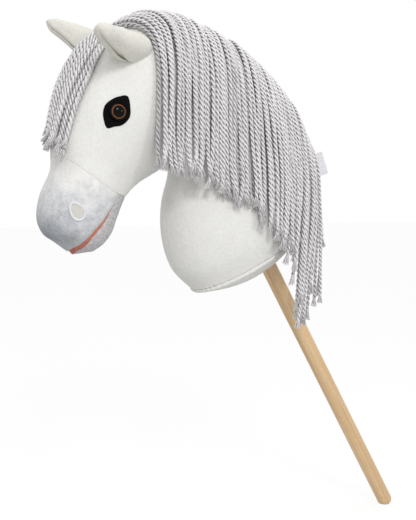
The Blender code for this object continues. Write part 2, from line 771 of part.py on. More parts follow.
def make_eye(word, side):
    """Felt patch, moulded eye with its post, and the lock washer inside."""
    frame = skin_frame(EYE_ROW, side * EYE_ANGLE)
    spot, _, _, outward = frame
    patch = skin_patch("eye_patch_" + word, frame, EYE_PATCH_OUTLINE, BLACK_FELT, GAP, GAP + FELT)
    seat = 2 * GAP + FELT
    profile = []
    for k in range(DOME_STEPS + 1):
        turn = math.radians(90.0 * k / DOME_STEPS)
        profile.append((EYE_RADIUS * math.sin(turn), seat + EYE_RIM + EYE_DOME * math.cos(turn)))
    profile += [(EYE_RADIUS, seat), (EYE_POST_RADIUS, seat),
                (EYE_POST_RADIUS, seat - EYE_POST), (0.0, seat - EYE_POST)]
    turned("eye_" + word, profile, EYE_PLASTIC, spot, outward)
    washer_top = -(PLUSH + GAP)
    sag = EYE_RADIUS ** 2 / (2 * HEAD_CURVE)
    turned("eye_washer_" + word,
           tube_profile(EYE_POST_RADIUS + GAP, WASHER_RADIUS, washer_top - sag - WASHER_THICKNESS,
                        washer_top - sag), WASHER_PLASTIC, spot, outward, closed=True)
    post_hole = hole_cutter("post_hole_" + word, EYE_POST_RADIUS + GAP, -HOLE_REACH, HOLE_REACH, spot,
                            outward)
    pocket = hole_cutter("washer_pocket_" + word, WASHER_RADIUS + GAP, seat - EYE_POST - GAP,
                         HOLE_REACH, spot, outward)
    cut(patch, post_hole)
    cut(bpy.data.objects["head_panel_" + word], post_hole)
    return pocket


def make_nostril(word, side):
    """Cream patch of a nostril and the satin-stitched border round it."""
    frame = skin_frame(NOSTRIL_ROW, side * NOSTRIL_ANGLE)
    skin_patch("nostril_" + word, frame, nostril_outline(-GAP / 2), EAR_CREAM, GAP,
               GAP + NOSTRIL_FELT)
    inner = nostril_outline(GAP / 2)
    middle = nostril_outline(NOSTRIL_BORDER / 2)
    outer = nostril_outline(NOSTRIL_BORDER)
    rings = []
    shoulder = STITCH_SHOULDER * STITCH_HEIGHT
    for outline, height in ((inner, 0.0), (outer, 0.0), (outer, shoulder),
                            (middle, STITCH_HEIGHT), (inner, shoulder)):
        rings += patch_rings(frame, outline, (1.0,), GAP + height)
    ring_solid("nostril_border_" + word, rings, THREAD_WHITE)


# Ears

EAR_SEAT_ROWS = (5.6, 9.8)
SEAT_ROWS = 24
SEAT_SIDES = 56
EAR_SEAT_TREE = form_tree(*EAR_SEAT_ROWS, SEAT_ROWS, SEAT_SIDES, GAP)


def ear_frame(ear):
    """Base place and the aim, opening and width directions of an ear."""
    aim = unit(ear["aim"])
    opening = np.array(ear["opening"])
    opening = unit(opening - aim * (opening @ aim))
    width = np.cross(aim, opening)
    root = skin(ear["row"], ear["side"] * ear["angle"])
    return root, aim, opening, width


def ear_radius(share):
    """Radius along the ear: it narrows to a blunt tip with rounded corners."""
    taper = 1.0 - share ** EAR_TAPER
    corner = max((share - EAR_CORNER) / (1.0 - EAR_CORNER), 0.0)
    radius = EAR_TIP_RADIUS + (EAR_RADIUS - EAR_TIP_RADIUS) * taper
    return radius * (1.0 - EAR_CORNER_CUT * corner ** 2)


def ear_reach(share):
    """Angle that the leaf reaches round each way: nearly shut at the base, open in the middle."""
    low = (EAR_OPEN_MIDDLE - EAR_OPEN_BASE) * min(share / EAR_MIDDLE, 1.0) ** 3
    high = (EAR_OPEN_TIP - EAR_OPEN_MIDDLE) * max(share - EAR_MIDDLE, 0.0) / (1.0 - EAR_MIDDLE)
    return EAR_OPEN_BASE + low + high


def ear_grid(ear, end, rows, cols, inset, narrow):
    """Grid of one face of the rolled leaf."""
    root, aim, opening, width = ear_frame(ear)
    grid = []
    for r in range(rows + 1):
        share = end * r / rows
        centre = root + aim * (EAR_LENGTH * share - EAR_SINK * (1 - share))
        centre = centre - opening * ear["bend"] * share ** 2
        radius = ear_radius(share) - inset
        reach = ear_reach(share) * narrow
        line = []
        for c in range(cols + 1):
            turn = math.radians(-reach + 2 * reach * c / cols)
            across = width * (radius * math.sin(turn))
            line.append(centre - opening * (radius * EAR_DEPTH * math.cos(turn)) + across)
        grid.append(line)
    return grid


def ear_hinge(ear):
    """Place of the fold line: where the middle of the ear's back meets the head."""
    root, aim, opening, _ = ear_frame(ear)
    start = root - opening * (EAR_RADIUS * EAR_DEPTH) + aim * EAR_LENGTH
    return np.array(EAR_SEAT_TREE.ray_cast(Vector(start), Vector(-aim))[0])


def make_ear(word, ear, head_cutter):
    """Outer ear and its lining, cut to sit on the head, about the fold line of the base."""
    hinge = ear_hinge(ear)
    outer = sheet_solid("ear_outer_" + word, ear_grid(ear, EAR_END, 12, 14, 0.0, 1.0),
                        ear_grid(ear, EAR_END, 12, 14, EAR_CLOTH, 1.0), EAR_CREAM, hinge)
    start = EAR_CLOTH + EAR_LINING_SEAT
    lining = sheet_solid("ear_lining_" + word,
                         ear_grid(ear, EAR_LINING_END, 10, 12, start, EAR_LINING_WIDTH),
                         ear_grid(ear, EAR_LINING_END, 10, 12, start + EAR_LINING, EAR_LINING_WIDTH),
                         EAR_CREAM, hinge)
    cut(outer, head_cutter)
    cut(lining, head_cutter)


def make_head_cutter():
    """Raised copy of the head's form, which trims what sits on the head."""
    first, last = EAR_SEAT_ROWS
    rings = []
    for r in range(SEAT_ROWS + 1):
        row = first + (last - first) * r / SEAT_ROWS
        rings.append([skin(row, 360.0 * k / SEAT_SIDES, GAP) for k in range(SEAT_SIDES)])
    return as_cutter(ring_solid("head_form", rings, None, mean_point(rings[0]), mean_point(rings[-1]),
                                CUTTERS))


# Mane, forelock, tape and label

MANE_TREE = form_tree(0.0, 9.6, 110, 112, CORD_SEAT)


def crest_height(x):
    """Height of the raised crest above a place along X."""
    hit = MANE_TREE.ray_cast(Vector((x, 0.0, RAY_HEIGHT)), Vector((0.0, 0.0, -1.0)))[0]
    return hit.z


def drape_line(root_x, lead, drift):
    """Curve of a cord from the crest over the left side, and down where nothing carries it.

    The root lies forward by the lead, beside the ear, and the hanging end drifts back.
    """
    middle = crest_height(root_x - lead) - DRAPE_DROP
    points = []
    for k in range(DRAPE_TURNS + 1):
        turn = math.radians(DRAPE_TURN * k)
        x = root_x - lead * max(1.0 - k / LEAD_STEPS, 0.0) ** 2
        aim = Vector((0.0, -math.sin(turn), math.cos(turn)))
        hit = MANE_TREE.ray_cast(Vector((x, 0.0, middle)), aim)[0]
        points.append(np.array(hit))
    outermost = min(p[1] for p in points)
    for k in range(1, DRAPE_STEPS + 1):
        height = middle - DRAPE_STEP * k
        share = min(k / DRIFT_STEPS, 1.0)
        x = root_x + drift * share * share * (3 - 2 * share)
        hit = MANE_TREE.ray_cast(Vector((x, 0.0, height)), Vector((0.0, -1.0, 0.0)))[0]
        if hit is not None:
            outermost = min(outermost, hit.y)
        points.append(np.array([x, outermost, height]))
    return points


def points_along(line, distances):
    """Points and outward directions at distances along a line."""
    lengths = [0.0]
    for a, b in zip(line, line[1:]):
        lengths.append(lengths[-1] + float(np.linalg.norm(b - a)))
    result = []
    for distance in distances:
        distance = min(max(distance, 0.0), lengths[-1])
        i = max(k for k in range(len(line) - 1) if lengths[k] <= distance)
        share = (distance - lengths[i]) / (lengths[i + 1] - lengths[i])
        spot = line[i] + (line[i + 1] - line[i]) * share
        before = line[max(i - 1, 0)]
        after = line[min(i + 2, len(line) - 1)]
        along = unit(after - before)
        outward = unit(np.cross(along, (1.0, 0.0, 0.0)))
        if outward[2] - outward[1] < 0:
            outward = -outward
        result.append((spot, outward))
    return result


def cord_length(number, progress):
    """Length of one cord: short at the front, long near the rear, with a wave in the cut edge."""
    trim = MANE_FRONT_TRIM * max(1.0 - progress / MANE_TRIMMED_SHARE, 0.0) ** 1.5
    tail = MANE_TAIL_EXTRA * math.exp(-((progress - MANE_TAIL_PLACE) / MANE_TAIL_SHARE) ** 2)
    wave = MANE_LENGTH_SWING * math.sin(MANE_WAVES[0] * number) * math.cos(MANE_WAVES[1] * number)
    return MANE_LENGTH - trim + tail + wave


def section_pivot(number):
    """Hinge place and axis of one section of the mane, on the crest."""
    span = (MANE_REAR - MANE_FRONT) / MANE_SECTIONS
    front = MANE_FRONT + span * number
    rear = front + span
    middle = (front + rear) / 2
    axis = unit((front - rear, 0.0, crest_height(front) - crest_height(rear)))
    upward = np.array([axis[2], 0.0, -axis[0]])
    spot = np.array([middle, 0.0, crest_height(middle)]) + upward * (MANE_AXIS_LIFT - CORD_SEAT)
    return spot, axis


def make_mane_lock(number):
    """One lock: cords side by side, as a draped solid with a rounded ridge for each cord."""
    span = (MANE_REAR - MANE_FRONT) / MANE_LOCKS
    locks_per_section = MANE_LOCKS // MANE_SECTIONS
    front = MANE_FRONT + span * number
    front_gap = LOCK_GAP / 2 if number % locks_per_section == 0 else GAP
    rear_gap = LOCK_GAP / 2 if number % locks_per_section == locks_per_section - 1 else GAP
    low = front + front_gap
    high = front + span - rear_gap
    columns = 2 * CORDS_PER_LOCK + 1
    inner = []
    outer = []
    for c in range(columns):
        root_x = low + (high - low) * c / (columns - 1)
        progress = (root_x - MANE_FRONT) / (MANE_REAR - MANE_FRONT)
        lead = MANE_LEAD * max(1.0 - progress * MANE_LOCKS, 0.0)
        line = drape_line(root_x, lead, MANE_REAR_DRIFT * progress ** 6)
        crown = c % 2 == 1
        reach = cord_length(number * CORDS_PER_LOCK + c // 2, progress) - (0.0 if crown else VALLEY_TRIM)
        thickness = CORD_DIAMETER * (1.0 if crown else CORD_VALLEY)
        places = points_along(line, [reach * (k / MANE_ROWS) ** ROW_CROWDING for k in range(MANE_ROWS + 1)])
        inner.append([spot for spot, outward in places])
        outer.append([spot + outward * thickness for spot, outward in places])
    origin, _ = section_pivot(number // locks_per_section)
    return sheet_solid("mane_lock_%d" % (number + 1), outer, inner, YARN_GREY, origin)


FORELOCK_ROOT = skin(FORELOCK_ROOT_ROW, 0.0, CORD_SEAT + FORELOCK_THICKNESS / 2)


def forelock_places(across, height, reach):
    """Points down the forehead at a distance from its middle, at a height in the lock.

    The lock is sewn to the tape at its root, then stands off the forehead and spreads.
    """
    line = []
    for k in range(FORELOCK_STEPS + 1):
        row = FORELOCK_ROOT_ROW + FORELOCK_RUN * k / FORELOCK_STEPS
        run = min(reach * k / FORELOCK_STEPS / FORELOCK_SPREAD, 1.0)
        side = across * (FORELOCK_ROOT_SHARE + (1.0 - FORELOCK_ROOT_SHARE) * run)
        lift = CORD_SEAT + (FORELOCK_LIFT - CORD_SEAT) * run
        angle = -math.degrees(math.asin(side / section_at(row)[4]))
        line.append(skin(row, angle, lift + height))
    lengths = np.cumsum([0.0] + [float(np.linalg.norm(b - a)) for a, b in zip(line, line[1:])])
    result = []
    for k in range(FORELOCK_ROWS + 1):
        distance = reach * k / FORELOCK_ROWS
        i = min(int(np.searchsorted(lengths, distance, side="right")) - 1, len(line) - 2)
        share = (distance - lengths[i]) / (lengths[i + 1] - lengths[i])
        result.append(line[i] + (line[i + 1] - line[i]) * share)
    return result


def make_forelock_lock(number):
    """One half of the forelock, with a rounded ridge for each cord."""
    low = FORELOCK_EDGES[number] + GAP
    high = FORELOCK_EDGES[number + 1] - GAP
    columns = 2 * FORELOCK_CORDS + 1
    inner = []
    outer = []
    for c in range(columns):
        across = low + (high - low) * c / (columns - 1)
        crown = c % 2 == 1
        thickness = FORELOCK_THICKNESS * (1.0 if crown else CORD_VALLEY)
        wave = FORELOCK_SWING * math.sin(FORELOCK_WAVE * (number * FORELOCK_CORDS + c // 2))
        reach = FORELOCK_LENGTH + wave - (0.0 if crown else VALLEY_TRIM)
        inner.append(forelock_places(across, 0.0, reach))
        outer.append(forelock_places(across, thickness, reach))
    return sheet_solid("forelock_lock_%d" % (number + 1), outer, inner, YARN_GREY, FORELOCK_ROOT)


def make_mane_tape():
    """Tape that the cords are sewn to, along the crest seam."""
    outer = []
    inner = []
    for r in range(TAPE_ROWS + 1):
        row = TAPE_REAR_ROW + (TAPE_FRONT_ROW - TAPE_REAR_ROW) * r / TAPE_ROWS
        angles = [shifted_angle(row, 0.0, TAPE_HALF_WIDTH * k / 2) for k in range(-2, 3)]
        outer.append([skin(row, a, GAP + TAPE_THICKNESS) for a in angles])
        inner.append([skin(row, a, GAP) for a in angles])
    sheet_solid("mane_tape", outer, inner, COTTON)


def make_label():
    """Unprinted ribbon loop that stands out of the crest seam."""
    root = skin(LABEL_ROW, 0.0, GAP)
    along_row, _ = skin_slopes(LABEL_ROW, 0.0)
    along = unit(along_row)
    out = unit(np.array([along[2], 0.0, -along[0]]))
    half = LABEL_LOOP / 2 + LABEL_RIBBON
    run = LABEL_LENGTH - half
    outer = [(0.0, half)] + [(run + half * math.sin(math.radians(a)), half * math.cos(math.radians(a)))
                             for a in range(0, 181, 30)] + [(0.0, -half)]
    tight = LABEL_LOOP / 2
    inner = [(0.0, tight)] + [(run + tight * math.sin(math.radians(a)), tight * math.cos(math.radians(a)))
                              for a in range(0, 181, 30)] + [(0.0, -tight)]
    spans = (-LABEL_WIDTH / 2, LABEL_WIDTH / 2)

    def row_of(profile, span):
        return [root + out * reach + np.array([0.0, side, 0.0]) + along * span for reach, side in profile]

    sheet_solid("label", [row_of(outer, s) for s in spans], [row_of(inner, s) for s in spans], RIBBON_WHITE)


def make_mane():
    """All locks of the mane and forelock, each on the empty of its hinge."""
    locks_per_section = MANE_LOCKS // MANE_SECTIONS
    for section in range(MANE_SECTIONS):
        spot, axis = section_pivot(section)
        hinge = add_hinge("mane_hinge_%d" % (section + 1), spot, axis)
        for k in range(locks_per_section):
            keep_place(make_mane_lock(section * locks_per_section + k), hinge)
    hinge = add_hinge("forelock_hinge", FORELOCK_ROOT, (0.0, 1.0, 0.0))
    for k in range(len(FORELOCK_EDGES) - 1):
        keep_place(make_forelock_lock(k), hinge)


def add_hinge(name, spot, axis):
    """Empty on a joint's axis: its Z runs along the axis."""
    hinge = bpy.data.objects.new(name, None)
    hinge.empty_display_size = 0.02
    PARTS.objects.link(hinge)
    hinge.rotation_mode = "QUATERNION"
    hinge.rotation_quaternion = Vector(axis).to_track_quat("Z", "Y")
    return place(hinge, spot)


def keep_place(item, parent):
    """Parent an object and leave it where it is."""
    turn = parent.rotation_quaternion.to_matrix().to_4x4()
    item.parent = parent
    item.matrix_parent_inverse = (Matrix.Translation(parent.location) @ turn).inverted()


make_stick()
make_stick_holders()
make_side_panels()
make_base_panel(hole_cutter("stick_hole", STICK_RADIUS + HOLE_CLEARANCE, BASE_LOW - HOLE_REACH,
                            BASE_HEIGHT + HOLE_REACH, (0, 0, 0), STICK_AIM))
make_muzzle()
POCKETS = [make_eye("left", 1), make_eye("right", -1)]
make_nostril("left", 1)
make_nostril("right", -1)
make_wadding(stick_bore_cutter(), POCKETS)
HEAD_CUTTER = make_head_cutter()
make_ear("left", EAR_LEFT, HEAD_CUTTER)
make_ear("right", EAR_RIGHT, HEAD_CUTTER)
make_mane_tape()
make_mane()
make_label()
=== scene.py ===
"""Looks of the hobby horse: plush, felt, twisted yarn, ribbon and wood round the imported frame.

Frame: +Z is up in the riding pose, the horse looks along -X and its left side is -Y.
Sizes are in millimetres here, and metres() turns them into Blender's metres.
"""
import math

import bmesh
import bpy
import numpy as np
from mathutils import Matrix, Vector, noise
from mathutils.bvhtree import BVHTree


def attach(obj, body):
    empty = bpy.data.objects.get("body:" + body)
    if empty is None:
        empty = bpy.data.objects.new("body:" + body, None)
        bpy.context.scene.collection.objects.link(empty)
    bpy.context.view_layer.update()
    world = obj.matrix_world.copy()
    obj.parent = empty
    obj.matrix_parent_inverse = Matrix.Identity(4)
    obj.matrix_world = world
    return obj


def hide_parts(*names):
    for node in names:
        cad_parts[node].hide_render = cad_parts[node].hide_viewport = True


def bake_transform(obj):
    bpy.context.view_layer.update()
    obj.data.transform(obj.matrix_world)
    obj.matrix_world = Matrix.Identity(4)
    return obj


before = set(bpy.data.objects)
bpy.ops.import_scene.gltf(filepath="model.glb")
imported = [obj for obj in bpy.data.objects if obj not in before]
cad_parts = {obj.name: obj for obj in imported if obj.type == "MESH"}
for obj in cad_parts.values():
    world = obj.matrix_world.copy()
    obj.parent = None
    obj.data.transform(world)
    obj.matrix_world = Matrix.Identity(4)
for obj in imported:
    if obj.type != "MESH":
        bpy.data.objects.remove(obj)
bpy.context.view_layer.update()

# Camera, from the photograph's perspective: place, azimuth, elevation and lens
CAMERA_PLACE = (-721.6, -733.6, 381.7)
CAMERA_AZIMUTH = 31.7
CAMERA_DROP = 4.0
SENSOR = 24.0
LENS = 36.923

# Studio: floor and surround, and square lamps as name, place, size and power
FLOOR_REACH = 12000.0
FLOOR_GREY = (0.60, 0.60, 0.60)
FLOOR_GLOW = 1.135
FLOOR_GLOW_SHARE = 0.75
SURROUND = (0.98, 0.98, 0.985)
SURROUND_STRENGTH = 0.77
LAMP_TARGET = (-300.0, 0.0, 430.0)
LAMPS = (("key", (-850.0, -1650.0, 1500.0), 420.0, 13.0),
         ("fill", (450.0, -1700.0, 900.0), 230.0, 3.9),
         ("top", (-300.0, 100.0, 2000.0), 1300.0, 4.0))

# Seats and cloth, as in the solids
GAP = 0.3
PLUSH = 2.5
FELT = 1.0
ROUNDNESS = 2.1
BASE_BULGE = 21.0

# Both sides, and the angle in degrees over which an edge stays sharp
SIDES = (("left", 1), ("right", -1))
SHARP_ANGLE = 60.0

# The skin's form, as in the solids: crest x, z, throat x, z, half width, fullness
SECTIONS = (
    (-150.0, 360.0, -286.0, 290.0, 46.0, 0.00),
    (-139.0, 376.0, -309.0, 313.0, 54.0, 0.00),
    (-133.0, 394.0, -320.0, 348.0, 57.0, 0.00),
    (-138.0, 428.0, -320.0, 382.0, 56.0, 0.00),
    (-164.0, 480.0, -313.0, 407.0, 51.0, 0.00),
    (-210.0, 526.0, -311.0, 417.0, 48.0, 0.00),
    (-270.0, 557.0, -315.0, 421.0, 47.0, 0.05),
    (-335.0, 567.0, -325.0, 419.0, 48.0, 0.10),
    (-388.0, 541.0, -340.0, 411.0, 47.0, 0.10),
    (-421.0, 495.0, -357.0, 401.0, 43.0, 0.12),
    (-440.0, 445.0, -370.0, 388.0, 38.0, 0.10),
    (-452.0, 405.0, -379.0, 369.0, 36.5, 0.05),
    (-458.0, 372.0, -386.0, 353.0, 35.5, 0.00),
    (-453.0, 355.0, -395.0, 342.0, 32.0, 0.00),
    (-444.0, 344.0, -405.0, 335.0, 24.0, 0.00),
)
NOSE_TIP = (-426.0, 0.0, 332.0)
POLL_SEAM = 7.2
MUZZLE_SEAM = 10.45
MUZZLE_SEAM_DROP = 0.45

# Fine skin: mesh pitch, how far and how deep a seam tucks in, and the pile's unevenness
SKIN_PITCH = 1.7
SEAM_WIDTH = 2.8
POLL_SEAM_DEPTH = 0.3
BASE_SEAM_DEPTH = 0.5
CENTRE_SEAM_DEPTH = 0.4
MUZZLE_SEAM_TOP = 0.15
MUZZLE_SEAM_SIDE = 0.7
PUCKERS = 46
PUCKER_HEIGHT = 0.45
PUCKER_REACH = 9.0
LUMP_SIZE = 34.0
LUMP_HEIGHT = 0.6
PILE_SIZE = 2.6
PILE_HEIGHT = 0.16

# Rolled rim of the base, as (outward, downward) steps, and the gathers round the stick's hole
BASE_SIDES = 260
BASE_RIM = ((-0.9, 0.05), (-0.4, 0.5), (-0.15, 1.2), (-0.05, 2.1), (-0.25, 3.1), (-0.8, 3.9))
HOLE_GATHERS = 18
HOLE_GATHER_HEIGHT = 0.4
HOLE_GATHER_REACH = 14.0
HOLE_DIP = 1.8
HOLE_DIP_REACH = 12.0
HOLE_TURN_REACH = 30.0

# Mouth line in the middle plane, as in the solids; the soft lips part a little more
MOUTH_LINE = ((-362.0, 418.0), (-385.0, 394.0), (-394.0, 379.0), (-407.0, 362.5),
              (-418.5, 350.5), (-426.0, 339.0), (-430.0, 322.0))
MOUTH_START = 2
MOUTH_HALVES = ((2.0, 0.0), (2.3, 0.6), (3.0, 1.2), (3.6, 1.4), (4.2, 1.9), (5.0, 2.7), (6.0, 3.1))
LIP_DEPTH = 0.5
LIP_SINK = 0.9
LIP_ROLL = 1.1
LIP_ROLL_START = 1.2
LIP_WIDTH = 3.2
LINING_OVERLAP = 1.1
CUT_FRONT = -500.0
CUT_REAR = -320.0
CUT_LOW = 290.0
CUT_HIGH = 480.0
CUT_HALF = 90.0
MUZZLE_GRID = (84, 210)

# Dents of the soft form, at the pinched nose and on the bridge: place x, z, size and shift x, z
DENTS = (((-437.0, 341.0), 11.0, (3.0, 2.6)),
         ((-450.0, 415.0), 17.0, (6.5, 1.0)))

# Grey of the muzzle: where it starts and how far it rises, and the nose patch as axis, centre, size
GREY_LOW = 330.0
GREY_RISE = 115.0
NOSE_PATCH = (("X", -452.0, 18.0), ("Y", -2.0, 22.0), ("Z", 352.0, 14.0))

# Eyes, patches and nostrils, as in the solids
EYE_ROW = 8.85
EYE_ANGLE = 73.4
EYE_RADIUS = 8.2
EYE_DOME = 5.5
EYE_RIM = 1.0
EYE_POST_RADIUS = 2.4
EYE_POST = 14.0
EYE_PATCH_OUTLINE = ((10.0, 15.5), (12.5, 6.5), (12.0, -4.0), (5.0, -11.5), (-3.0, -13.5),
                     (-10.0, -15.0), (-13.0, -8.0), (-13.5, 0.0), (-11.0, 7.0), (-5.0, 12.0),
                     (2.0, 15.0))
EYE_PATCH_POINTS = 150
EYE_PATCH_RIPPLE = 0.012
NOSTRIL_ROW = 11.62
NOSTRIL_ANGLE = 70.5
NOSTRIL_LENGTH = 15.5
NOSTRIL_WIDTH = 10.5
NOSTRIL_POINT = 0.22
NOSTRIL_TILT = -35.0
NOSTRIL_BORDER = 2.0
STITCH_RADIUS = 0.27
STITCH_SIDES = 6
STITCHES = 130

# Felt patch's rings, as (share of the outline, share of the thickness)
FELT_RINGS = ((0.25, 0.0), (0.6, 0.0), (0.97, 0.0), (1.0, 0.35), (0.985, 0.8), (0.94, 1.0),
              (0.8, 1.0), (0.6, 1.0), (0.4, 1.0), (0.2, 1.0))

# Ears, as in the solids
EAR_ANGLE = 41.0
EAR_SINK = 8.0
EAR_LENGTH = 71.0
EAR_RADIUS = 18.5
EAR_DEPTH = 0.8
EAR_TIP_RADIUS = 5.6
EAR_TAPER = 1.6
EAR_CORNER = 0.85
EAR_CORNER_CUT = 0.4
EAR_CLOTH = 2.2
EAR_LINING = 1.2
EAR_LINING_SEAT = 0.9
EAR_LINING_WIDTH = 0.985
EAR_LINING_SHORT = 0.15
EAR_ROUND_TIP = 0.11
EAR_RIM = 3.0
EAR_PUFF = 1.5
EAR_PUFF_OUT = 0.6
EAR_LUMP_SIZE = 12.0
EAR_LUMP_HEIGHT = 0.45
EAR_BLEND = (2.0, 22.0)
EAR_GRID = (76, 121)

# The leaves as they lie: direction, bend and tip share, then the slit as its angle, place and
# length along the ear, and the hanging rim as its drop, place and length
EAR_SHUT = 179.0
EARS = {"left": {"side": 1, "row": 7.85, "aim": (-0.78, -0.62, 0.01), "opening": (-0.30, -0.30, -0.85),
                 "bend": 6.0, "end": 0.93, "slit": (8.0, 0.42, 0.13), "drop": (1.5, 0.35, 0.25)},
        "right": {"side": -1, "row": 7.65, "aim": (-0.81, 0.38, 0.46), "opening": (-0.45, -0.50, -0.75),
                  "bend": -2.0, "end": 1.0, "slit": (4.0, 0.42, 0.16), "drop": (8.5, 0.36, 0.30)}}

# Mane and forelock: cords of two plies
CORDS_PER_SECTION = 12
PLY_RADIUS = 1.08
PLY_HELIX = 1.04
PLY_SIDES = 7
PLY_STEP = 1.0
CORD_LAY = 10.8
MANE_FRONT = -357.0
MANE_REAR = -143.0
MANE_SECTIONS = 4
MANE_LEAD = 30.0
MANE_LEAD_SHARE = 0.3
MANE_REAR_DRIFT = 7.0

# Height of the roots: the mane stands up behind the ears and lies flat further back
ROOT_RISES = ((0.08, 5.0), (0.15, 4.0), (0.3, -1.5))
ROOT_RISE_REACH = 70.0

# Cut edge of the mane, as (share of the way from front to rear, height), and how far forward
# its ends lean, as (share, lean)
MANE_TIPS = ((0.0, 413.0), (0.06, 409.0), (0.19, 409.0), (0.32, 391.0), (0.46, 378.0), (0.58, 357.0),
             (0.70, 332.0), (0.78, 309.0), (0.82, 286.0), (0.85, 246.0), (0.90, 246.0), (0.94, 258.0),
             (1.0, 274.0))
TAIL_LEAN = ((0.62, 0.0), (0.75, 5.0), (0.83, 13.0), (0.89, 15.0), (0.94, 9.0), (1.0, 1.0))
TAIL_STEPS = 58.0
TAIL_START = ((0.74, 0.0), (0.82, 1.0))

# A cord's way: over the crest in steps of a turn, then down in steps of height
DRAPE_DROP = 40.0
DRAPE_TURN = 3.0
LEAD_TURN = 60.0
DRAPE_STEP = 4.0
DRAPE_STEPS = 65
DRIFT_REACH = 72.0

# Unevenness of the cords: sway of the under and top layers, kick of the ends, and (height, size)
# of the waves sideways and outwards
SWAY = (1.4, 2.6)
SWAY_LIMIT = 1.3
SWAY_WAVE = (0.9, 31.0)
END_KICK = 4.0
STAND_WAVE = (0.7, 27.0)
UNDER_SHORTENING = 5.0

# Tape, and the two layers as number, word, lift and shift of the roots
TAPE_HALF_WIDTH = 4.0
TAPE_THICKNESS = 0.9
CORD_SEAT = GAP + TAPE_THICKNESS + GAP
TAPE_FRONT_ROW = 7.85
TAPE_REAR_ROW = 3.15
MANE_LAYERS = ((0, "under", 2.2, 0.0), (1, "top", 5.0, 0.5))
# Tones of each layer's cords: random within the range, with the under layer darker as painted shade under the
# top layer
UNDER_TONES_PAINTED_SHADE = (0.0, 0.35)
TOP_TONES = (0.7, 1.0)

# Frayed ends: fine hairs that start inside the cord and flare out
TASSEL_LENGTH = 11.0
TASSEL_HAIRS = 24
TASSEL_SINK = 2.5
HAIR_RADIUS = 0.36
HAIR_SIDES = 3
HAIR_POINTS = 6
HAIR_FLARE = (1.5, 2.4)
HAIR_WIGGLE = 0.65

# Forelock over the forehead
FORELOCK_LAYERS = ((0, "under", 1.8), (1, "top", 4.4))
FORELOCK_CORDS = 9
FORELOCK_POINTS = 120
FORELOCK_ROOT_ROW = 7.75
FORELOCK_ROWS = 3.3
FORELOCK_LENGTH = 132.0
FORELOCK_EDGES = (-21.0, 15.0)
FORELOCK_ROOT_SHARES = (0.5, 1.9)
FORELOCK_RISE = 9.5
FORELOCK_RISE_END = 84.0
FORELOCK_NEAR_LIFT = 0.3
FORELOCK_SPREAD = 45.0
FORELOCK_LIFT = 2.5

# Label, as in the solids
LABEL_ROW = 2.86
LABEL_LENGTH = 30.0
LABEL_WIDTH = 26.0
LABEL_RIBBON = 0.6
LABEL_LOOP = 1.2
LABEL_ROOT = -3.0
LABEL_CURL = 1.4

# Stick, as in the solids
STICK_RADIUS = 9.0
STICK_LENGTH = 620.0
STICK_LEAN = 31.1
STICK_TOP_EDGE = 1.0
STICK_FOOT_FLAT = 4.0
STICK_FOOT_ROUND = 6.0
STICK_RINGS = 40
HOLE_CLEARANCE = 0.5

# Wadding: place and fill of each pad, mesh pitch, and how far and unevenly it draws back
PADS = (("neck", 0.85), ("head", 0.9), ("muzzle", 0.9))
WADDING_PITCH = 3.5
WADDING_BACK = 0.7
WADDING_LUMP = 0.5
WADDING_LUMP_SIZE = 16.0


# Numbers and curves

def metres(value):
    """Millimetres to metres: a number, an array or a vector."""
    return value * 0.001


def unit(vectors):
    """Unit vectors along the last axis."""
    vectors = np.asarray(vectors, float)
    return vectors / np.maximum(np.linalg.norm(vectors, axis=-1, keepdims=True), 1e-12)


def square_to(vectors, axis):
    """Unit vectors of what is left of vectors without their part along an axis."""
    vectors = np.asarray(vectors, float)
    return unit(vectors - axis * np.einsum("...i,...i", vectors, axis)[..., None])


def tangents(line):
    """Unit directions along a line of points."""
    return unit(np.gradient(line, axis=0))


def runs_along(line):
    """Distances travelled along a line of points."""
    return np.insert(np.cumsum(np.linalg.norm(np.diff(line, axis=0), axis=1)), 0, 0.0)


def fade(distance, reach):
    """1 at no distance, falling evenly to 0 at a reach."""
    return np.clip(1.0 - distance / reach, 0.0, 1.0)


def reached(distance, full):
    """Share of a full distance, held between 0 and 1."""
    return np.clip(distance / full, 0.0, 1.0)


def eased(share):
    """A share between 0 and 1, with a smooth start and end."""
    share = reached(share, 1.0)
    return share * share * (3 - 2 * share)


def read_curve(value, points):
    """Height at a value on a line through (value, height) points."""
    return np.interp(value, *zip(*points))


def curve_between(p0, p1, p2, p3, t):
    """Points at a share of the way from p1 to p2 on a smooth curve."""
    return 0.5 * (2 * p1 + (p2 - p0) * t + (2 * p0 - 5 * p1 + 4 * p2 - p3) * t ** 2
                  + (3 * p1 - p0 - 3 * p2 + p3) * t ** 3)


def grid(by_row, by_column):
    """Two arrays of a grid's shape: one value for each row, and one for each column."""
    return np.meshgrid(by_row, by_column, indexing="ij")


def full_turn(count):
    """Angles in degrees at even steps round a full turn."""
    return np.arange(count) * 360.0 / count


def noise_at(points, size, seed=0.0):
    """Smooth noise from -1 to 1 at points, with features of a size."""
    flat = points.reshape(-1, 3) / size + seed
    return np.array([noise.noise(Vector(p)) for p in flat]).reshape(points.shape[:-1])


# Objects and meshes

def add_object(name, data):
    """New object in the scene."""
    made = bpy.data.objects.new(name, data)
    bpy.context.scene.collection.objects.link(made)
    return made


def stand_for(piece, slot, *nodes):
    """Hide the CAD nodes that a piece stands for; the piece and the slot are not used."""
    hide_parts(*nodes)


def grid_faces(rows, cols, wrap=False):
    """Quads of a grid of points, closed round its columns where wrap is set."""
    r, c = grid(np.arange(rows - 1), np.arange(cols if wrap else cols - 1))
    a = r * cols + c
    b = r * cols + (c + 1) % cols
    return np.stack([a, b, b + cols, a + cols], axis=-1).reshape(-1, 4)


def signed_volume(points, faces):
    """Six times the volume inside a mesh of quads, negative where it is inside out."""
    a, b, c, d = (points[faces[:, k]] for k in range(4))
    return float(np.einsum("ij,ij->", a, np.cross(b, c) + np.cross(c, d)))


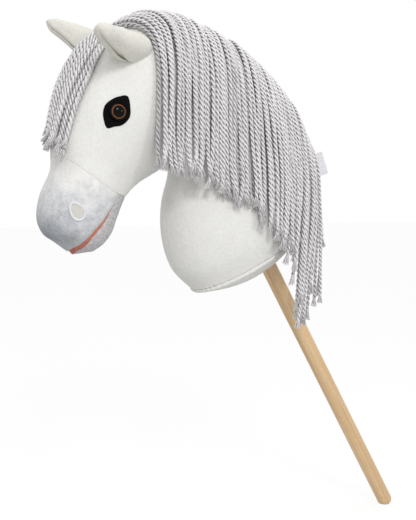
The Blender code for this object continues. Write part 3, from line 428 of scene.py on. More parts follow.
def add_piece(name, points, faces, material, body="head"):
    """A named piece from points and lists of faces, riding on a body."""
    mesh = bpy.data.meshes.new(name)
    mesh.from_pydata(metres(np.asarray(points)).tolist(), [], [list(map(int, f)) for f in faces])
    mesh.validate()
    mesh.materials.append(material)
    mesh.shade_smooth()
    mesh.set_sharp_from_angle(angle=math.radians(SHARP_ANGLE))
    piece = add_object(name, mesh)
    if body:
        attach(piece, body)
    return piece


def closed_sheet(name, outer, inner, material, body="head"):
    """Closed piece between two grids of the same rows and columns, with its edge closed."""
    rows, cols = outer.shape[:2]
    count = rows * cols
    points = np.concatenate([outer.reshape(-1, 3), inner.reshape(-1, 3)])
    top = grid_faces(rows, cols)
    rim = np.concatenate([np.arange(cols), np.arange(1, rows) * cols + cols - 1,
                          (rows - 1) * cols + np.arange(cols - 2, -1, -1),
                          np.arange(rows - 2, 0, -1) * cols])
    after = np.roll(rim, -1)
    side = np.stack([rim, rim + count, after + count, after], axis=-1)
    faces = np.concatenate([top, top[:, ::-1] + count, side])
    if signed_volume(points, faces) < 0:
        faces = faces[:, ::-1]
    return add_piece(name, points, faces, material, body)


def closed_rings(name, rings, material, start, end, body="head"):
    """Closed piece through rings of points, with a centre point at each end."""
    rings = np.asarray(rings)
    rows, cols = rings.shape[:2]
    points = np.concatenate([rings.reshape(-1, 3), [start, end]])
    quads = grid_faces(rows, cols, wrap=True)
    last = (rows - 1) * cols
    pairs = [(c, (c + 1) % cols) for c in range(cols)]
    faces = quads.tolist() + [[rows * cols, j, i] for i, j in pairs]
    faces += [[rows * cols + 1, last + i, last + j] for i, j in pairs]
    if signed_volume(points, quads) < 0:
        faces = [f[::-1] for f in faces]
    return add_piece(name, points, faces, material, body)


def apply_step(piece, kind, **settings):
    """Put a modifier with its settings on a piece, and keep the result as its mesh."""
    step = piece.modifiers.new(kind.lower(), kind)
    for key, value in settings.items():
        setattr(step, key, value)
    old = piece.data
    graph = bpy.context.evaluated_depsgraph_get()
    piece.data = bpy.data.meshes.new_from_object(piece.evaluated_get(graph))
    piece.modifiers.clear()
    bpy.data.meshes.remove(old)
    piece.data.name = piece.name


# The skin's form

FORM = np.array(SECTIONS)
LAST_ROW = len(SECTIONS) - 1
NOSE_ROW = LAST_ROW - 1e-3


def section_at(row):
    """Section values at row numbers, on a smooth curve through the sections."""
    row = np.clip(np.asarray(row, float), 0.0, LAST_ROW - 1e-9)
    i = row.astype(int)
    p1 = FORM[i]
    p2 = FORM[i + 1]
    p0 = np.where((i > 0)[..., None], FORM[np.maximum(i - 1, 0)], 2 * p1 - p2)
    p3 = np.where((i + 2 <= LAST_ROW)[..., None], FORM[np.minimum(i + 2, LAST_ROW)], 2 * p2 - p1)
    return curve_between(p0, p1, p2, p3, (row - i)[..., None])


def skin_point(row, angle):
    """Points of the skin: angle 0 is the crest, 90 the left side, 180 the throat."""
    row, angle = np.broadcast_arrays(np.asarray(row, float), np.asarray(angle, float))
    crest_x, crest_z, throat_x, throat_z, half, fullness = np.moveaxis(section_at(row), -1, 0)
    cosine = np.cos(np.radians(angle))
    along, side = (np.copysign(np.abs(value) ** (2 / ROUNDNESS), value)
                   for value in (cosine, np.sin(np.radians(angle))))
    return np.stack([(crest_x + throat_x) / 2 + (crest_x - throat_x) / 2 * along,
                     -half * side * (1 + fullness * cosine),
                     (crest_z + throat_z) / 2 + (crest_z - throat_z) / 2 * along], axis=-1)


def skin_slopes(row, angle):
    """Slopes of the skin along a row number and along an angle in degrees."""
    row = np.asarray(row, float)
    step = 0.002
    low = np.maximum(row - step, 0.0)
    high = np.minimum(row + step, LAST_ROW - 1e-6)
    along_row = (skin_point(high, angle) - skin_point(low, angle)) / (high - low)[..., None]
    return along_row, (skin_point(row, angle + 0.1) - skin_point(row, angle - 0.1)) / 0.2


def skin_normal(row, angle):
    """Outward directions of the skin."""
    return unit(np.cross(*skin_slopes(row, angle)))


def skin(row, angle, lift):
    """Skin points raised along the skin's normal."""
    return skin_point(row, angle) + skin_normal(row, angle) * np.asarray(lift, float)[..., None]


def shifted_row(row, angle, distance):
    """Row numbers at a distance along the skin from other rows."""
    return row + distance / np.linalg.norm(skin_slopes(row, angle)[0], axis=-1)


def base_seam(angle):
    """Row and depth of the seam round the base."""
    return np.zeros(np.shape(angle)), BASE_SEAM_DEPTH


def poll_seam(angle):
    """Row and depth of the seam between the neck and the head."""
    return np.full(np.shape(angle), POLL_SEAM), POLL_SEAM_DEPTH


def muzzle_seam(angle):
    """Row and depth of the muzzle seam: it hardly shows over the nose and drops back under the jaw."""
    turn = np.abs((np.asarray(angle, float) + 180.0) % 360.0 - 180.0)
    row = MUZZLE_SEAM - MUZZLE_SEAM_DROP * eased((turn - 100.0) / 80.0)
    return row, MUZZLE_SEAM_TOP + (MUZZLE_SEAM_SIDE - MUZZLE_SEAM_TOP) * eased((turn - 60.0) / 50.0)


def skin_middle(row, sides=28):
    """Middle of the skin's section at a row."""
    return skin_point(np.full(sides, row), full_turn(sides)).mean(axis=0)


BASE_CENTRE = skin_middle(0.0)
BASE_NORMAL = unit((SECTIONS[0][1] - SECTIONS[0][3], 0.0, SECTIONS[0][2] - SECTIONS[0][0]))
NOSE_NORMAL = unit(NOSE_TIP - skin_middle(NOSE_ROW))
STICK_AIM = unit((-math.sin(math.radians(STICK_LEAN)), 0.0, math.cos(math.radians(STICK_LEAN))))


def seam_tuck(distance, depth):
    """How far the plush is drawn in at a distance from a seam."""
    return depth * fade(distance, SEAM_WIDTH) ** 2


def plush_lift(points):
    """Height of the pile over the skin: soft lumps and uneven pile."""
    return noise_at(points, LUMP_SIZE) * LUMP_HEIGHT + noise_at(points, PILE_SIZE, 7.0) * PILE_HEIGHT


def pucker(angle, distance):
    """Small gathers of the plush beside the base seam."""
    turn = np.radians(angle)
    wave = np.sin(turn * PUCKERS + 2 * np.sin(turn * 7)) * (0.6 + 0.4 * np.sin(turn * 5 + 1))
    return PUCKER_HEIGHT * wave * fade(distance, PUCKER_REACH) ** 2


def dent(points):
    """Shift of points of the head where the soft form is drawn in."""
    shift = np.zeros(points.shape)
    for (x, z), size, (along, upward) in DENTS:
        share = np.exp(-(np.hypot(points[..., 0] - x, points[..., 2] - z) / size) ** 2)
        shift += share[..., None] * (along, 0.0, upward)
    return shift


def sheet_lengths(points):
    """Distances of a grid's points from its first and last rows and columns, along the grid."""
    lengths = []
    for axis in (0, 1):
        step = np.linalg.norm(np.diff(points, axis=axis), axis=-1)
        travelled = np.insert(np.cumsum(step, axis=axis), 0, 0.0, axis=axis)
        lengths += [travelled, travelled.take([-1], axis=axis) - travelled]
    return lengths


# Shader nodes

WHITE = (1.0, 1.0, 1.0)


def feed(tree, socket, value):
    """Give an input another node's output, a colour or a number."""
    if isinstance(value, bpy.types.NodeSocket):
        tree.links.new(value, socket)
    elif socket.type == "RGBA":
        socket.default_value = (*value, 1.0)
    else:
        socket.default_value = value


def add_node(tree, kind, inputs=None, **settings):
    """New node with its settings, and its inputs by name or number."""
    node = tree.nodes.new(kind)
    for key, value in settings.items():
        setattr(node, key, value)
    for key, value in (inputs or {}).items():
        feed(tree, node.inputs[key], value)
    return node


def add_noise(tree, scale, detail=2.0, stretch=None, roughness=0.5, where=None):
    """Noise in the object's own coordinates, or others, stretched where asked."""
    if where is None:
        where = add_node(tree, "ShaderNodeTexCoord").outputs["Object"]
    if stretch:
        where = add_node(tree, "ShaderNodeMapping", {"Vector": where, "Scale": stretch}).outputs["Vector"]
    inputs = {"Vector": where, "Scale": scale, "Detail": detail, "Roughness": roughness}
    return add_node(tree, "ShaderNodeTexNoise", inputs).outputs["Fac"]


def ramp(tree, value, *stops):
    """Colour ramp through (place, colour) stops."""
    node = add_node(tree, "ShaderNodeValToRGB", {"Fac": value})
    band = node.color_ramp
    while len(band.elements) < len(stops):
        band.elements.new(0.5)
    for element, (place, color) in zip(band.elements, stops):
        element.position = place
        element.color = (*color, 1.0)
    return node.outputs["Color"]


def blend_colors(tree, first, second, factor=1.0, mode="MULTIPLY"):
    """Product of two colours, or another blend of them."""
    inputs = {0: factor, 6: first, 7: second}
    return add_node(tree, "ShaderNodeMix", inputs, data_type="RGBA", blend_type=mode).outputs[2]


def calculate(tree, operation, first, second=0.0):
    """One step of arithmetic on outputs or numbers."""
    return add_node(tree, "ShaderNodeMath", {0: first, 1: second}, operation=operation).outputs[0]


def scaled(tree, value, zero, size):
    """How many sizes a value lies over a zero."""
    return calculate(tree, "MULTIPLY", calculate(tree, "SUBTRACT", value, zero), 1 / size)


def object_place(tree):
    """The object's own X, Y and Z."""
    where = add_node(tree, "ShaderNodeTexCoord").outputs["Object"]
    return add_node(tree, "ShaderNodeSeparateXYZ", {"Vector": where}).outputs


def distance_squared(tree, place, spot):
    """Square of the distance from a spot of (axis, centre, size) in millimetres, in sizes."""
    total = 0.0
    for axis, centre, size in spot:
        offset = scaled(tree, place[axis], metres(centre), metres(size))
        total = calculate(tree, "ADD", calculate(tree, "MULTIPLY", offset, offset), total)
    return total


def make_material(name, looks, finish, bump, *details):
    """Material from a function for its colour and height, its finish and its bump's height."""
    material = bpy.data.materials.new(name)
    material.use_nodes = True
    tree = material.node_tree
    shader = tree.nodes["Principled BSDF"]
    color, height = looks(tree, *details)
    for key, value in finish.items():
        shader.inputs[key].default_value = value
    feed(tree, shader.inputs["Base Color"], color)
    if height:
        inputs = {"Height": height, "Distance": metres(bump), "Strength": 1.0}
        feed(tree, shader.inputs["Normal"], add_node(tree, "ShaderNodeBump", inputs).outputs["Normal"])
    return material


# Materials

def plush(tree, pale, deep, shade=None):
    """Short plush: mottled pile of fine fibres over small tufts; shade tints it by place, with the muzzle's
    grey and with the chin's grey and painted shadow.
    """
    color = ramp(tree, add_noise(tree, 330.0, 3.0), (0.30, deep), (0.66, pale))
    nap = ramp(tree, add_noise(tree, 34.0), (0.35, (0.97, 0.97, 0.97)), (0.65, WHITE))
    color = blend_colors(tree, color, nap)
    if shade:
        color = shade(tree, color)
    fibres = calculate(tree, "MULTIPLY", add_noise(tree, 1400.0, 3.0), 0.5)
    return color, calculate(tree, "ADD", fibres, add_noise(tree, 420.0))


def muzzle_shade(tree, color):
    """White at the top of the muzzle, fading to heather grey, with a darker patch at the nose."""
    place = object_place(tree)
    cloud = scaled(tree, add_noise(tree, 60.0, 3.0), 0.5, 2.0)
    height = calculate(tree, "ADD", scaled(tree, place["Z"], metres(GREY_LOW), metres(GREY_RISE)), cloud)
    dye = ramp(tree, height, (0.0, (0.58, 0.59, 0.60)), (0.22, (0.62, 0.63, 0.64)),
               (0.46, (0.76, 0.76, 0.765)), (0.66, (0.88, 0.87, 0.84)))
    square = distance_squared(tree, place, NOSE_PATCH)
    patch = calculate(tree, "EXPONENT", calculate(tree, "MULTIPLY", square, -1.0))
    dye = blend_colors(tree, dye, (0.34, 0.37, 0.405), calculate(tree, "MULTIPLY", patch, 0.9), "MIX")
    color = blend_colors(tree, color, dye)
    mottle = ramp(tree, height, (0.30, WHITE), (0.70, (0.2, 0.2, 0.2)))
    for scale, deep, end in ((120.0, (0.86, 0.87, 0.885), 0.60), (430.0, (0.83, 0.84, 0.86), 0.58)):
        layer = ramp(tree, add_noise(tree, scale, 4.0), (0.36, deep), (end, WHITE))
        color = blend_colors(tree, color, layer, mottle)
    return color


def chin_grey_and_painted_shadow(tree, color):
    """Heather grey of the chin, made darker than its own light grey as painted shadow for the shade under the
    mouth.
    """
    heather = ramp(tree, add_noise(tree, 520.0, 3.0), (0.36, (0.42, 0.40, 0.405)), (0.58, (0.63, 0.61, 0.61)))
    return blend_colors(tree, color, heather)


def grained(tree, pale, deep, scale, detail, stretch=None, roughness=0.5):
    """One grain for colour and height, as in felt, thread, ribbon, tape and plastic."""
    grain = add_noise(tree, scale, detail, stretch, roughness)
    return ramp(tree, grain, (0.3, deep), (0.7, pale)), grain


def yarn(tree, pale, deep, painted_crevice_shade):
    """Fibres that run along each ply; a tone for each cord, random and lower for the under layer as painted
    shade; and painted shade in the valleys between the plies.
    """
    lay = add_node(tree, "ShaderNodeAttribute", attribute_name="lay").outputs["Vector"]
    place = add_node(tree, "ShaderNodeSeparateXYZ", {"Vector": lay}).outputs
    fibres = add_noise(tree, 3.0, 3.0, (0.12, 9.0, 37.0), where=lay)
    color = ramp(tree, fibres, (0.32, deep), (0.66, pale))
    # Tone of each cord, in which the under layer's lower tones are painted shade
    color = blend_colors(tree, color, ramp(tree, place["Z"], (0.0, (0.66, 0.65, 0.65)), (1.0, WHITE)))
    # Painted shade, darker towards the valleys between the plies
    return blend_colors(tree, color, ramp(tree, place["Y"], (0.15, painted_crevice_shade), (0.62, WHITE))), fibres


def eye_gloss(tree):
    """Moulded eye: black with a thin brown ring, without a bump."""
    spot = (("X", 0.0, EYE_RADIUS), ("Y", 0.0, EYE_RADIUS))
    radius = calculate(tree, "SQRT", distance_squared(tree, object_place(tree), spot))
    black = (0.002, 0.002, 0.002)
    brown = (0.26, 0.095, 0.03)
    ring = ramp(tree, radius, (0.0, black), (0.67, black), (0.71, brown), (0.78, brown), (0.82, black))
    fleck = ramp(tree, add_noise(tree, 1500.0), (0.3, (0.7, 0.7, 0.7)), (0.7, WHITE))
    return blend_colors(tree, ring, fleck), None


def wood(tree):
    """Pale beech: streaks along the stick, short dark flecks and broad bands."""
    streaks = add_noise(tree, 1.0, 5.0, (420.0, 420.0, 9.0), 0.6)
    color = ramp(tree, streaks, (0.28, (0.61, 0.40, 0.205)), (0.50, (0.74, 0.52, 0.30)),
                 (0.72, (0.85, 0.645, 0.405)))
    flecks = add_noise(tree, 1.0, 2.0, (2100.0, 2100.0, 170.0))
    color = blend_colors(tree, color, ramp(tree, flecks, (0.30, (0.78, 0.74, 0.68)), (0.42, WHITE)), 0.7)
    bands = add_noise(tree, 1.0, 1.0, (60.0, 60.0, 2.2))
    band = ramp(tree, bands, (0.35, (0.90, 0.87, 0.83)), (0.65, (1.05, 1.05, 1.04)))
    return blend_colors(tree, color, band), flecks


def shader_finish(roughness, **others):
    """Shader inputs of a finish, by name."""
    names = {"shine": "Specular IOR Level", "sheen": "Sheen Weight", "sheen_roughness": "Sheen Roughness",
             "coat": "Coat Weight", "coat_roughness": "Coat Roughness"}
    return {"Roughness": roughness, **{names[key]: value for key, value in others.items()}}


PLUSH_LOOKS = (plush, shader_finish(0.92, shine=0.2, sheen=0.12, sheen_roughness=0.5), 0.35)
FELT_LOOKS = (grained, shader_finish(0.95, shine=0.08), 0.35)
FELT_GRAIN = (900.0, 5.0, None, 0.65)
YARN_LOOKS = (yarn, shader_finish(0.42, shine=0.6, sheen=0.1), 0.2)
WHITE_PLUSH = make_material("white_plush", *PLUSH_LOOKS, (0.84, 0.835, 0.805), (0.79, 0.785, 0.755))
GREY_PLUSH = make_material("grey_plush", *PLUSH_LOOKS, WHITE, (0.94, 0.94, 0.945), muzzle_shade)
# Chin plush: grey heather, darkened as painted shadow
CHIN_PLUSH_PAINTED_SHADOW = make_material("chin_plush", *PLUSH_LOOKS, WHITE, (0.94, 0.94, 0.945), chin_grey_and_painted_shadow)
CREAM_PLUSH = make_material("cream_plush", *PLUSH_LOOKS, (0.77, 0.755, 0.69), (0.70, 0.685, 0.62))
# Ear lining: its own cream, made paler as painted light for the ear's hollow
CREAM_LINING_PAINTED_LIGHT = make_material("cream_lining_painted_light", *PLUSH_LOOKS, (0.92, 0.87, 0.74), (0.84, 0.79, 0.66))
MOUTH_FELT, BLACK_FELT, NOSTRIL_FELT = (
    make_material(name, *FELT_LOOKS, pale, deep, *FELT_GRAIN)
    for name, pale, deep in (("mouth_felt", (0.68, 0.27, 0.20), (0.44, 0.14, 0.10)),
                             ("black_felt", (0.006, 0.006, 0.007), (0.002, 0.002, 0.002)),
                             ("nostril_felt", (0.70, 0.69, 0.64), (0.60, 0.59, 0.54))))
# Yarns as pale, deep and the painted shade in the valleys between the plies
GREY_YARN = make_material("grey_yarn", *YARN_LOOKS,
                          (0.93, 0.915, 0.92), (0.71, 0.695, 0.70), (0.26, 0.25, 0.255))
FRAYED_YARN = make_material("frayed_yarn", *YARN_LOOKS,
                            (0.90, 0.885, 0.89), (0.66, 0.645, 0.65), (0.80, 0.79, 0.79))
EYE_FINISH = shader_finish(0.25, shine=0.0, coat=0.22, coat_roughness=0.03)
EYE_GLOSS = make_material("eye_gloss", eye_gloss, EYE_FINISH, 0.0)
BEECH = make_material("beech_wood", wood, shader_finish(0.5, shine=0.35), 0.08)
WHITE_THREAD = make_material("white_thread", grained, shader_finish(0.4, sheen=0.15), 0.12,
                             (0.84, 0.84, 0.88), (0.6888, 0.6888, 0.7216), 2600.0, 2.0)
RIBBON = make_material("satin_ribbon", grained, shader_finish(0.35, sheen=0.3), 0.1,
                       (0.79, 0.79, 0.82), (0.60, 0.60, 0.64), 1.0, 2.0, (900.0, 900.0, 3600.0))
COTTON = make_material("cotton_tape", grained, shader_finish(0.9), 0.2,
                       (0.74, 0.71, 0.64), (0.60, 0.57, 0.50), 1800.0, 3.0)
WADDING = make_material("wadding", grained, shader_finish(0.95), 1.5,
                        (0.86, 0.86, 0.84), (0.70, 0.70, 0.68), 240.0, 3.0)
CLEAR_PLASTIC = make_material("washer_plastic", grained, shader_finish(0.45), 0.03,
                              (0.75, 0.75, 0.73), (0.68, 0.68, 0.66), 600.0, 3.0)


# Skin pieces

def side_skin(part, side, word, first_seam, last_seam):
    """Fine plush panel on one side (1 is left), between two seams and the middle plane."""
    coarse = skin_point(*grid(np.linspace(float(first_seam(90.0)[0]), float(last_seam(90.0)[0]), 40),
                              side * np.linspace(0.0, 180.0, 60)))
    rows, cols = (int(np.linalg.norm(np.diff(coarse, axis=axis), axis=-1).sum(axis=axis).max() / SKIN_PITCH)
                  for axis in (0, 1))
    share, angle = grid(np.linspace(0.0, 1.0, rows), np.linspace(0.0, 180.0, cols))
    first, first_depth = first_seam(angle)
    last, last_depth = last_seam(angle)
    low = shifted_row(first, angle, GAP / 4)
    high = shifted_row(last, angle, -GAP / 4)
    row = low + (high - low) * share
    flat = skin_point(row, side * angle)
    flat[:, [0, -1], 1] = -side * GAP / 4
    depths = (first_depth, last_depth, CENTRE_SEAM_DEPTH, CENTRE_SEAM_DEPTH)
    lengths = sheet_lengths(flat)
    lift = plush_lift(flat) - np.maximum.reduce([seam_tuck(*pair) for pair in zip(lengths, depths)])
    if first_seam is base_seam:
        lift = lift + pucker(side * angle, lengths[0])
    normal = skin_normal(row, side * angle)
    flat = flat + dent(flat)
    piece = closed_sheet(part + "_skin_" + word, flat + normal * lift[..., None],
                         flat - normal * (PLUSH + GAP), WHITE_PLUSH)
    stand_for(piece, "white_plush", part + "_panel_" + word)


def make_side_skins():
    """Neck and head panels of both sides."""
    for word, side in SIDES:
        side_skin("neck", side, word, base_seam, poll_seam)
        side_skin("head", side, word, poll_seam, muzzle_seam)


def base_polar(points):
    """Direction and distance of points from the middle of the base, in its plane."""
    offset = points - BASE_CENTRE
    across = offset @ np.cross(BASE_NORMAL, (0.0, 1.0, 0.0))
    return np.arctan2(offset[:, 1], across), np.hypot(offset[:, 1], across)


def base_radius(turn, edge):
    """Distance of the base's edge from its middle in some directions."""
    turns, radii = base_polar(edge)
    order = np.argsort(turns)
    return np.interp(turn, turns[order], radii[order], period=2 * np.pi)


def make_base_skin():
    """Bulged base with its puckered seam, and the hole where the stick goes in."""
    angles = full_turn(BASE_SIDES)
    edge = skin_point(np.zeros(BASE_SIDES), angles)
    slide = STICK_AIM / (STICK_AIM @ BASE_NORMAL)
    spot = slide * (BASE_CENTRE @ BASE_NORMAL)
    hole = spot + square_to(edge - spot, STICK_AIM) * (STICK_RADIUS + HOLE_CLEARANCE)
    hole = hole - slide * ((hole - BASE_CENTRE) @ BASE_NORMAL)[:, None]
    outward = unit(edge - BASE_CENTRE)
    outer = []
    inner = []
    for offset, height in BASE_RIM:
        ridge = pucker(angles, 0.0) * reached(height, 2.0)
        outer.append(edge + outward * (offset + ridge)[:, None] + BASE_NORMAL * height)
        inner.append(edge + outward * min(offset - PLUSH, -PLUSH) + BASE_NORMAL * (GAP / 2 + 0.1 * height))
    for share in np.concatenate([np.linspace(0.968, 0.80, 9)[:-1], np.linspace(0.80, 0.0, 34)]):
        flat = hole + (edge - hole) * share
        here, reach = base_polar(flat)
        bulge = BASE_BULGE * (1 - np.minimum(reach / base_radius(here, edge), 1.0) ** 2)
        from_edge = np.linalg.norm(flat - edge, axis=1)
        from_hole = np.linalg.norm(flat - hole, axis=1)
        lift = plush_lift(flat) + pucker(angles, from_edge)
        gather = HOLE_GATHER_HEIGHT * np.sin(np.radians(angles) * HOLE_GATHERS)
        lift = lift + gather * fade(from_hole, HOLE_GATHER_REACH)
        lift = lift - HOLE_DIP * fade(from_hole, HOLE_DIP_REACH) ** 2
        blend = reached(from_hole, HOLE_TURN_REACH)[:, None]
        direction = slide * (1 - blend) + BASE_NORMAL * blend
        outer.append(flat + direction * (bulge + GAP + PLUSH + lift)[:, None])
        inner.append(flat + direction * (bulge + GAP)[:, None])
    rings = np.array(outer + inner[::-1])
    rows, cols = rings.shape[:2]
    points = rings.reshape(-1, 3)
    closing = grid_faces(2, cols, wrap=True)
    closing = np.where(closing < cols, closing + (rows - 1) * cols, closing - cols)
    faces = np.concatenate([grid_faces(rows, cols, wrap=True), closing])
    if signed_volume(points, faces) < 0:
        faces = faces[:, ::-1]
    stand_for(add_piece("base_skin", points, faces, WHITE_PLUSH), "white_plush", "base_panel")


# Muzzle

def mouth_half(place):
    """Half of the opening between the lips along the mouth line."""
    return GAP / 2 + read_curve(place, MOUTH_HALVES)


def mouth_planes(x, z):
    """Signed distance from the mouth line (over 0 is the nose side), and place along it."""
    line = np.array(MOUTH_LINE)
    best = np.full(x.shape, np.inf)
    signed = np.zeros(x.shape)
    place = np.zeros(x.shape)
    for i, (a, b) in enumerate(zip(line, line[1:])):
        d = b - a
        t = ((x - a[0]) * d[0] + (z - a[1]) * d[1]) / (d @ d)
        t = np.clip(t, -9.0 if i == 0 else 0.0, 9.0 if i == len(line) - 2 else 1.0)
        gap = np.hypot(x - a[0] - d[0] * t, z - a[1] - d[1] * t)
        near = gap < best
        best = np.where(near, gap, best)
        signed = np.where(near, np.copysign(gap, (x - a[0]) * d[1] - (z - a[1]) * d[0]), signed)
        place = np.where(near, i + t, place)
    return signed, place


def mouth_edge(side, extra):
    """Mouth line moved towards the nose (side 1) or the chin (side -1)."""
    line = np.array(MOUTH_LINE)
    along = tangents(line)
    across = np.stack([along[:, 1], -along[:, 0]], axis=-1) * side
    return (line + across * (mouth_half(np.arange(len(line))) + extra)[:, None]).tolist()


def cut_prism(piece, outline):
    """Cut away what lies within an outline in the middle plane, to a depth on both sides."""
    work = bmesh.new()
    corners = [work.verts.new((metres(x), metres(-CUT_HALF), metres(z))) for x, z in outline]
    grown = bmesh.ops.extrude_face_region(work, geom=[work.faces.new(corners)])
    moved = [v for v in grown["geom"] if isinstance(v, bmesh.types.BMVert)]
    bmesh.ops.translate(work, vec=(0.0, metres(2 * CUT_HALF), 0.0), verts=moved)
    bmesh.ops.recalc_face_normals(work, faces=work.faces)
    mesh = bpy.data.meshes.new("cutter")
    work.to_mesh(mesh)
    work.free()
    cutter = add_object("cutter", mesh)
    apply_step(piece, "BOOLEAN", operation="DIFFERENCE", object=cutter, solver="EXACT")
    bpy.data.objects.remove(cutter, do_unlink=True)


def add_muzzle_part(name, node, slot, material, part, outer, inner):
    """The part of the muzzle's shell in front of (1), behind (-1) or along (0) the mouth line."""
    rings = np.concatenate([inner[0][::-1], outer[0]])
    piece = closed_rings(name, rings, material, inner[1], outer[1])
    chin_side = [(CUT_REAR, CUT_LOW), (CUT_REAR, CUT_HIGH)]
    nose_side = [(CUT_FRONT, CUT_LOW), (CUT_FRONT, CUT_HIGH), (MOUTH_LINE[0][0], CUT_HIGH)]
    behind = MOUTH_LINE[MOUTH_START][0]
    cuts = {1: [mouth_edge(1, 0.0) + chin_side],
            -1: [mouth_edge(-1, 0.0) + nose_side],
            0: [mouth_edge(1, LINING_OVERLAP) + nose_side, mouth_edge(-1, LINING_OVERLAP) + chin_side,
                [(behind, CUT_LOW), (CUT_REAR, CUT_LOW), (CUT_REAR, CUT_HIGH), (behind, CUT_HIGH)]]}
    for outline in cuts[part]:
        cut_prism(piece, outline)
    stand_for(piece, slot, node)


def make_muzzle():
    """Grey muzzle, chin and the salmon felt between the lips."""
    rows, cols = MUZZLE_GRID
    share, angle = grid(np.linspace(0.0, 1.0, rows), full_turn(cols))
    seam, depth = muzzle_seam(angle)
    low = shifted_row(seam, angle, GAP / 4)
    row = low + (NOSE_ROW - low) * share
    flat = skin_point(row, angle)
    normal = skin_normal(row, angle)
    signed, place = mouth_planes(flat[..., 0], flat[..., 2])
    roll = LIP_ROLL * fade(np.abs(signed) - mouth_half(place), LIP_WIDTH) ** 2
    lift = plush_lift(flat) - seam_tuck(sheet_lengths(flat)[0], depth)
    lift = lift - np.where(place > LIP_ROLL_START, roll, 0.0)
    flat = flat + dent(flat)
    nose = NOSE_TIP + dent(np.array(NOSE_TIP))

    def face(height):
        return flat + normal * np.asarray(height)[..., None], nose + NOSE_NORMAL * np.min(height)

    shell = ((face(lift)[0], nose), face(-PLUSH))
    add_muzzle_part("muzzle_skin", "muzzle_panel", "grey_plush", GREY_PLUSH, 1, *shell)
    add_muzzle_part("chin_skin", "chin_panel", "chin_plush", CHIN_PLUSH_PAINTED_SHADOW, -1, *shell)
    add_muzzle_part("mouth_felt", "mouth_lining", "mouth_felt", MOUTH_FELT, 0,
                    face(-LIP_DEPTH - LIP_SINK), face(-PLUSH - GAP))


# Eyes and nostrils

def skin_frame(row, angle):
    """Place, backward, upward and outward directions of a spot on the skin."""
    outward = skin_normal(row, angle)
    upward = square_to((0.0, 0.0, 1.0), outward)
    backward = square_to(square_to((1.0, 0.0, 0.0), outward), upward)
    return skin_point(row, angle), backward, upward, outward


def form_tree(first_row, last_row, rows, lift, with_nose=False, sides=168):
    """Search tree of the raised skin between two rows."""
    points = skin(*grid(np.linspace(first_row, last_row, rows), full_turn(sides)), lift).reshape(-1, 3)
    faces = grid_faces(rows, sides, wrap=True).tolist()
    vertices = [Vector(p) for p in points + dent(points)]
    if with_nose:
        vertices.append(Vector(NOSE_TIP + NOSE_NORMAL * lift))
        base = (rows - 1) * sides
        faces += [[base + c, base + (c + 1) % sides, len(vertices) - 1] for c in range(sides)]
    return BVHTree.FromPolygons(vertices, faces)


HEAD_TREE = form_tree(POLL_SEAM, NOSE_ROW, 90, 0.0, with_nose=True)


def drop_to_skin(spot, outward, lift, above=30.0):
    """Move a spot against a direction onto the skin, and leave it raised by a lift."""
    hit = HEAD_TREE.ray_cast(Vector(spot + outward * above), Vector(-outward))[0]
    return np.array(hit) + outward * lift


def smooth_outline(points, count):
    """Closed smooth curve through outline points, with a count of points."""
    points = np.asarray(points, float)
    place = len(points) * np.arange(count) / count
    i = place.astype(int)
    return curve_between(*(points[(i + j - 1) % len(points)] for j in range(4)), (place - i)[:, None])


def laid_ring(frame_at, outline, height):
    """Outline laid on the skin at a height."""
    spot, backward, upward, outward = frame_at
    return [drop_to_skin(spot + backward * x + upward * z, outward, height) for x, z in outline]


def felt_patch(name, frame_at, outline, thickness, material, slot, node):
    """Felt patch with a rounded edge."""
    rings = [laid_ring(frame_at, outline * share, GAP / 2 + thickness * height)
             for share, height in FELT_RINGS]
    ends = [laid_ring(frame_at, [(0.0, 0.0)], GAP / 2 + height)[0] for height in (0.0, thickness)]
    stand_for(closed_rings(name, rings, material, *ends), slot, node)


def turned(name, profile, material, place_at, aim, sides):
    """A turned piece: a profile of (radius, height) round its aim, kept in its own frame."""
    turn = np.radians(full_turn(sides))
    rings = [np.stack([radius * np.cos(turn), radius * np.sin(turn), np.full(sides, height)], axis=-1)
             for radius, height in profile[1:-1]]
    piece = closed_rings(name, rings, material, (0.0, 0.0, profile[0][1]), (0.0, 0.0, profile[-1][1]), None)
    turn_to = Vector(aim).to_track_quat("Z", "Y").to_matrix().to_4x4()
    piece.matrix_world = Matrix.Translation(metres(Vector(place_at))) @ turn_to
    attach(piece, "head")
    return piece


def make_eye(word, side):
    """Black felt patch, slightly uneven at its cut edge, and the moulded eye on it."""
    frame_at = skin_frame(EYE_ROW, side * EYE_ANGLE)
    ripple = np.array([noise.noise(Vector((0.35 * k, 3.0 * side, 0.0))) for k in range(EYE_PATCH_POINTS)])
    outline = smooth_outline(EYE_PATCH_OUTLINE, EYE_PATCH_POINTS) * (1 + EYE_PATCH_RIPPLE * ripple)[:, None]
    felt_patch("eye_felt_" + word, frame_at, outline, FELT, BLACK_FELT, "black_felt", "eye_patch_" + word)
    seat = 2 * GAP + FELT
    profile = [(EYE_RADIUS * math.sin(t), seat + EYE_RIM + EYE_DOME * math.cos(t))
               for t in np.radians(np.linspace(0.0, 90.0, 19))]
    profile += [(EYE_RADIUS, seat + 0.4), (EYE_RADIUS - 0.35, seat), (EYE_POST_RADIUS, seat),
                (EYE_POST_RADIUS, seat - EYE_POST), (0.0, seat - EYE_POST)]
    eye = turned("eye_dome_" + word, profile, EYE_GLOSS, frame_at[0], frame_at[3], 64)
    stand_for(eye, "eye_plastic", "eye_" + word)


def nostril_outline(grow, count):
    """Teardrop outline, tilted, grown outwards by an amount."""
    tilt = math.radians(NOSTRIL_TILT)
    turn = np.radians(full_turn(count))
    along = (NOSTRIL_LENGTH / 2 + grow) * np.cos(turn)
    across = (NOSTRIL_WIDTH / 2 + grow) * np.sin(turn) * (1.0 - NOSTRIL_POINT * np.cos(turn))
    return np.stack([across * math.cos(tilt) + along * math.sin(tilt),
                     along * math.cos(tilt) - across * math.sin(tilt)], axis=-1)


